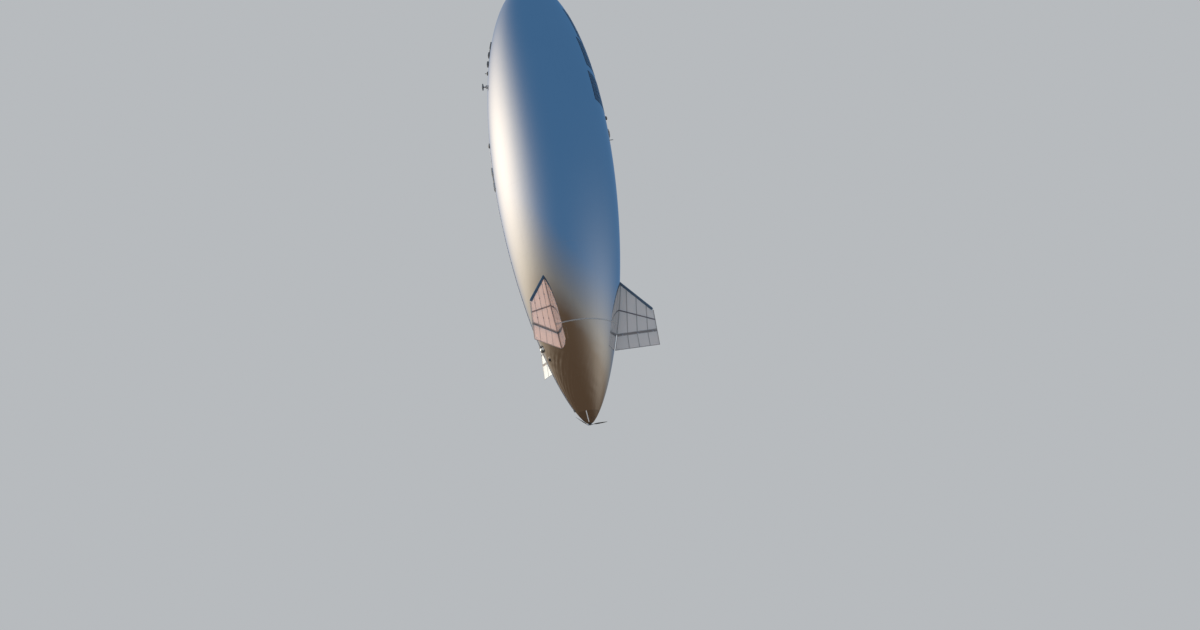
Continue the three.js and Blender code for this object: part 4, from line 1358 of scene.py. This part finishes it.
def build_keel():
    for node, low, high, half, thickness in KEEL_RUNS:
        run = Piece(f"{node}_cover", "equipment", stands_for=[node])
        breaks = [low, high]
        if low < SEAM < high:
            breaks = [low, SEAM - COVER_CLEARANCE, SEAM + COVER_CLEARANCE, high]
        for start, end in zip(breaks[::2], breaks[1::2]):
            run.add(keel_run(start, end, half, thickness), COVER_FILM)
        if len(breaks) > 2:
            hop = [on_skin(s, BELLY, lift) for s, lift in ((SEAM - 0.05, 0.017), (SEAM - 0.02, 0.021),
                                                          (SEAM + 0.02, 0.021), (SEAM + 0.05, 0.017))]
            run.add(tube(hop, 0.012, 12), RUBBER)
        for station in np.arange(low + 0.12, high - 0.05, CLIP_SPACING):
            if abs(station - SEAM) < CLIP_CLEARANCE:
                continue
            clip = keel_run(station - 0.011, station + 0.011, half + 0.003, thickness + 0.0025, 0.02)
            # Clips and their pads take the pale paint with painted shade
            run.add(clip, SHADED_PALE_PAINT)
            for side in (-1, 1):
                place = seat(station, BELLY, 0.0, side * (half + 0.020))
                run.add(box(0.036, 0.030, 0.005, 0.0015, 0.008, foot=-0.003), SHADED_PALE_PAINT, place)
                run.add(bolt(0.0045, 0.0085)[1], STEEL, place)
        run.make()
    bracket = Piece("keel_bracket_plate", "equipment", stands_for=["keel_bracket"])
    place = seat(BRACKET_STATION, BELLY)
    bracket.add(box(0.148, 0.146, 0.050, 0.012, 0.022, foot=-0.02), BOX_PAINT, place)
    bracket.add(box(0.100, 0.095, 0.058, 0.006, 0.015, foot=0.04), LID_PAINT, place)
    bracket.bolts(0.006, 0.007, place, corner_spots(0.061, 0.060, 0.0495), washer=False)
    bracket.make()


def build_tail_equipment():
    """The blower with its white middle, painted highlight in place of a glint, and the dark port, both just
    to port of the keel.
    """
    blower = Piece("tail_blower_case", "white_plastic", stands_for=["tail_blower"])
    place = seat(BLOWER_STATION, BLOWER_AZIMUTH)
    skin_patch(blower, BLOWER_STATION, BLOWER_AZIMUTH, 0.56, 0.38)
    for y in (-0.128, 0.128):
        end = box(0.236, 0.139, 0.122, 0.014, 0.030, foot=FOOT)
        blower.add(end, MOTOR_PAINT, place @ shift(0, y, 0))
    # The white middle: painted highlight in place of the blower's glint.
    blower.add(box(0.230, 0.124, 0.129, 0.018, 0.024, foot=FOOT), GLINT_WHITE, place)
    mouth = place @ shift(0, -0.130, 0.1215)
    ring = [(0.046, -0.004), (0.058, -0.004), (0.058, 0.002), (0.055, 0.0055), (0.049, 0.0055),
            (0.046, 0.002)]
    blower.add(hoop(ring, 40), ALLOY, mouth)
    blower.add(lathe([(0, -0.02), (0.047, -0.02), (0.047, 0.0012), (0, 0.0012)], 40), RUBBER, mouth)
    for radius in (0.015, 0.031):
        wire = [(radius + 0.0012 * math.cos(a), 0.0022 + 0.0012 * math.sin(a))
                for a in np.linspace(0, 5.24, 6)]
        blower.add(hoop(wire, 32), STEEL, mouth)
    for index in range(4):
        turn = math.pi / 4 * index
        end = Vector((0.051 * math.cos(turn), 0.051 * math.sin(turn), 0.0022))
        blower.add(tube([-end.xy.to_3d() + Vector((0, 0, 0.0022)), end], 0.0013, 6), STEEL, mouth)
    flap = box(0.17, 0.095, 0.006, 0.003, 0.016)
    blower.add(flap, BOX_PAINT, place @ shift(0, 0.132, 0.1205))
    for x in (-0.05, 0.05):
        blower.add(tube([(x - 0.018, 0.082, 0.1245), (x + 0.018, 0.082, 0.1245)], 0.004, 10), STEEL, place)
    for sx in (-1, 1):
        foot = box(0.030, 0.30, 0.006, 0.002, 0.004, foot=-0.02)
        blower.add(foot, ALLOY, place @ shift(sx * 0.128, 0, 0.004))
    blower.make()

    port = Piece("tail_port_ring", "composite", stands_for=["tail_port"])
    place = seat(PORT_STATION, PORT_AZIMUTH)
    skin_patch(port, PORT_STATION, PORT_AZIMUTH, 0.34, 0.34)
    outer = [(0.060, -0.02), (0.095, -0.02), (0.095, 0.022), (0.091, 0.027), (0.078, 0.038), (0.072, 0.0395),
             (0.066, 0.037), (0.060, 0.024)]
    port.add(hoop(outer, 48), CARBON, place)
    bottom = [(0, -0.02), (0.0615, -0.02), (0.0615, 0.008), (0.02, 0.010), (0, 0.010)]
    port.add(lathe(bottom, 48), RUBBER, place)
    port.bolts(0.0045, 0.005, place, ring_spots(8, 0.0865, 0.0300), washer=False)
    port.make()


# Fittings on the back
def build_fittings():
    valve = Piece("gas_valve_hood", "alloy", stands_for=["gas_valve"])
    place = seat(VALVE_STATION, BACK)
    skin_patch(valve, VALVE_STATION, BACK, 0.94, 0.94)
    profile = [(0, -0.06), (0.336, -0.06), (0.340, -0.055), (0.340, 0.026), (0.334, 0.032), (0.310, 0.038),
               (0.300, 0.046), (0.222, 0.048), (0.215, 0.052), (0.212, 0.076), (0.204, 0.086), (0.150, 0.093),
               (0.08, 0.0975), (0, 0.098)]
    valve.add(lathe(profile, 96), PANEL_PAINT, place)
    valve.bolts(0.007, 0.007, place, ring_spots(24, 0.321, 0.0345))
    for index in range(12):
        turn = spin(2 * math.pi * (index + 0.5) / 12)
        vent = box(0.050, 0.006, 0.018, 0.002, 0.003)
        valve.add(vent, RUBBER, place @ turn @ shift(0, 0.2135, 0.0545))
    valve.make()

    beacon = Piece("beacon_lamp", "composite", stands_for=["beacon"])
    place = seat(BEACON_STATION, BACK)
    skin_patch(beacon, BEACON_STATION - 0.01, BACK, 0.27, 0.32)
    beacon.add(box(0.168, 0.218, 0.112, 0.010, 0.022, foot=FOOT), MOTOR_PAINT, place)
    beacon.add(box(0.156, 0.206, 0.008, 0.002, 0.020, foot=-0.004), BOX_PAINT, place @ shift(0, 0, 0.1125))
    lens = [(0, 0.118), (0.060, 0.118), (0.060, 0.124), (0.056, 0.134), (0.044, 0.143), (0.024, 0.1488),
            (0, 0.1498)]
    beacon.add(lathe(lens, 48), BEACON_LENS, place)
    beacon.bolts(0.006, 0.005, place, corner_spots(0.066, 0.091, 0.1203))
    beacon.make()

    aerial = Piece("whip_aerial_rod", "composite", stands_for=["whip_aerial"])
    place = seat(AERIAL_STATION, BACK)
    skin_patch(aerial, AERIAL_STATION - 0.01, BACK, 0.22, 0.24)
    profile = [(0, -0.06), (0.060, -0.06), (0.060, 0.014), (0.056, 0.018), (0.034, 0.022), (0.030, 0.030),
               (0.030, 0.046), (0.0275, 0.052), (0.0258, 0.060), (0.0258, 0.150), (0.0235, 0.153),
               (0.0235, 0.157), (0.0258, 0.160), (0.0258, 0.240), (0.021, 0.251), (0.010, 0.2555), (0, 0.256)]
    aerial.add(lathe(profile, 32), PANEL_PAINT, place)
    aerial.bolts(0.0045, 0.006, place, ring_spots(4, 0.047, 0.0175, first=0.5), washer=False)
    aerial.make()


# Camera: where it stands and how it is turned, in the row frame
CAMERA_PLACE = Vector((-0.845, -46.526, -27.644))
CAMERA_FORWARD = Vector((0.0487, 0.9395, 0.3390))
CAMERA_UP = Vector((0.1358, -0.3425, 0.9296))
TRUE_UP = Vector((0.1435, -0.1044, 0.9841))
CAMERA_LENS = 24.0
CAMERA_SENSOR = 36.0
CAMERA_CLIP = (0.5, 3000.0)


def build_camera():
    data = bpy.data.cameras.new("camera")
    data.sensor_width = CAMERA_SENSOR
    data.lens = CAMERA_LENS
    data.clip_start, data.clip_end = CAMERA_CLIP
    camera = bpy.data.objects.new("camera", data)
    back = -CAMERA_FORWARD.normalized()
    right = CAMERA_UP.cross(back).normalized()
    turn = Matrix((right, back.cross(right), back)).transposed().to_4x4()
    camera.matrix_world = Matrix.Translation(CAMERA_PLACE) @ turn
    bpy.context.scene.collection.objects.link(camera)
    bpy.context.scene.camera = camera


# Stage: a pale floor far enough below to look up from, a background, and soft light that the film mirrors
FLOOR_LEVEL = -64.0
FLOOR_RADIUS = 900.0
FLOOR_FADE = (8.0, 24.0)
FLOOR_GLOW = 0.93
DOME_RADIUS = 1000.0
PALE = (0.56, 0.585, 0.61)
BACKDROP = (0.475, 0.495, 0.515)
BACKDROP_RADIUS = 950.0
DOME_STRENGTH = 1.3
# The studio's dome: a warm dim lower half, a pale band at eye level and a cool upper half.
# Elevation in degrees, and the tone there
UNDER_TONE = (0.08, 0.05, 0.03)
LEVEL_TONE = (0.14, 0.14, 0.14)
OVER_TONE = (0.05, 0.13, 0.26)
DOME_TONES = [(-90, UNDER_TONE), (-5, UNDER_TONE), (2, LEVEL_TONE), (15, OVER_TONE), (90, OVER_TONE)]
# Soft panels: azimuth to the right from the camera's side and elevation, spread in each, all in degrees,
# and light
SOFT_PANELS = [
    (-110, 20, 45, 20, (1.2, 1.0, 0.75)),
    (80, 0, 50, 20, (0.2, 0.18, 0.15)),
]
KEY_AZIMUTH = -115.0
KEY_ELEVATION = 14.0
KEY_STRENGTH = 10.8
KEY_SOFTNESS = 20.0
KEY_TONE = (1.0, 0.86, 0.66)
FLOOR_TONE = (0.27, 0.27, 0.27)
FLOOR_SIDES = 96


def stage_directions():
    """Axes for the stage: level towards the camera, level to its right, and up."""
    up = TRUE_UP.normalized()
    away = (CAMERA_FORWARD - up * CAMERA_FORWARD.dot(up)).normalized()
    return -away, away.cross(up).normalized(), up


def dome_finish():
    finish = Finish("soft_light_dome")
    finish.material.cycles.emission_sampling = "NONE"
    level = finish.node("ShaderNodeVectorMath", operation="NORMALIZE")
    finish.feed(level.inputs[0], finish.place)
    finish.place = level.outputs[0]
    x, y, z = finish.axes()
    elevation = finish.math("DEGREES", finish.math("ARCSINE", z))
    azimuth = finish.math("DEGREES", finish.math("ARCTAN2", y, x))
    ramp = finish.node("ShaderNodeValToRGB")
    finish.feed(ramp.inputs[0], finish.math("DIVIDE", finish.math("ADD", elevation, 90.0), 180.0))
    elements = ramp.color_ramp.elements
    while len(elements) < len(DOME_TONES):
        elements.new(0.5)
    for element, (angle, colour) in zip(elements, DOME_TONES):
        element.position = (angle + 90) / 180
        element.color = (*colour, 1.0)
    total = ramp.outputs["Color"]
    for turn, height, spread, depth, colour in SOFT_PANELS:
        across = finish.math("WRAP", finish.math("SUBTRACT", azimuth, turn), 180.0, -180.0)
        along = finish.math("SUBTRACT", elevation, height)
        squares = [finish.math("POWER", finish.math("ABSOLUTE", finish.math("DIVIDE", gap, reach)), 2.0)
                   for gap, reach in ((across, spread), (along, depth))]
        weight = finish.math("EXPONENT", finish.math("MULTIPLY", finish.math("ADD", *squares), -1.0))
        summed = finish.node("ShaderNodeMix", data_type="RGBA", blend_type="ADD")
        finish.feed(summed.inputs[0], weight)
        finish.feed(summed.inputs[6], total)
        finish.feed(summed.inputs[7], (*colour, 1.0))
        total = summed.outputs[2]
    finish.surface(finish.emission(total, DOME_STRENGTH))
    return finish.material


def backdrop_finish():
    """The plain pale background, the same all over."""
    finish = Finish("pale_backdrop")
    finish.material.cycles.emission_sampling = "NONE"
    finish.surface(finish.emission((*BACKDROP, 1.0)))
    return finish.material


def stage_object(name, mesh, material):
    made = bpy.data.objects.new(name, mesh)
    mesh.materials.append(material)
    bpy.context.scene.collection.objects.link(made)
    return made


def stage_sphere(name, radius, material):
    work = bmesh.new()
    bmesh.ops.create_uvsphere(work, u_segments=64, v_segments=32, radius=radius)
    mesh = bpy.data.meshes.new(name)
    work.to_mesh(mesh)
    work.free()
    sphere = stage_object(name, mesh, material)
    sphere.visible_shadow = False
    sphere.visible_diffuse = False
    sphere.visible_transmission = False
    return sphere


def build_dome_light():
    dome = stage_sphere("soft_light_dome", DOME_RADIUS, dome_finish())
    dome.matrix_world = Matrix(stage_directions()).transposed().to_4x4()
    dome.visible_camera = False
    backdrop = stage_sphere("pale_backdrop", BACKDROP_RADIUS, backdrop_finish())
    backdrop.visible_glossy = False


def floor_finish():
    """Pale floor that fades into the background with the distance from the object."""
    finish = Finish("pale_floor", Base_Color=(*FLOOR_TONE, 1.0), Roughness=1.0)
    x, y, _ = finish.axes()
    fade = finish.between(finish.reach(x, y), *FLOOR_FADE, FLOOR_GLOW, 1.0)
    finish.surface(finish.mixed(fade, finish.shader, finish.emission((*BACKDROP, 1.0))))
    return finish.material


def build_floor():
    points = circle(FLOOR_RADIUS, FLOOR_SIDES, FLOOR_LEVEL)
    mesh = bpy.data.meshes.new("pale_floor")
    mesh.from_pydata(points.tolist(), [], [tuple(range(FLOOR_SIDES))])
    floor = stage_object("pale_floor", mesh, floor_finish())
    floor.visible_glossy = False
    floor.visible_diffuse = False
    floor.visible_transmission = False


def build_lights():
    world = bpy.data.worlds.new("pale_background")
    world.use_nodes = True
    world.node_tree.nodes["Background"].inputs["Color"].default_value = (*PALE, 1.0)
    world.cycles.sampling_method = "NONE"
    bpy.context.scene.world = world
    lamp = bpy.data.lights.new("soft_key", "SUN")
    lamp.energy = KEY_STRENGTH
    lamp.angle = math.radians(KEY_SOFTNESS)
    lamp.color = KEY_TONE
    key = bpy.data.objects.new("soft_key", lamp)
    near, right, up = stage_directions()
    turn, tilt = math.radians(KEY_AZIMUTH), math.radians(KEY_ELEVATION)
    source = (near * math.cos(turn) + right * math.sin(turn)) * math.cos(tilt) + up * math.sin(tilt)
    key.rotation_mode = "QUATERNION"
    key.rotation_quaternion = source.to_track_quat("Z", "Y")
    key.visible_glossy = False
    bpy.context.scene.collection.objects.link(key)


build_camera()
build_dome_light()
build_floor()
build_lights()
build_envelope()
build_nose()
build_tail_cone()
build_hub()
build_blades()
build_fins()
build_rudders()
build_solar()
build_belly()
build_dome()
build_antenna()
build_aft_pod()
build_keel()
build_tail_equipment()
build_fittings()

bpy.context.scene.view_settings.view_transform = "Standard"
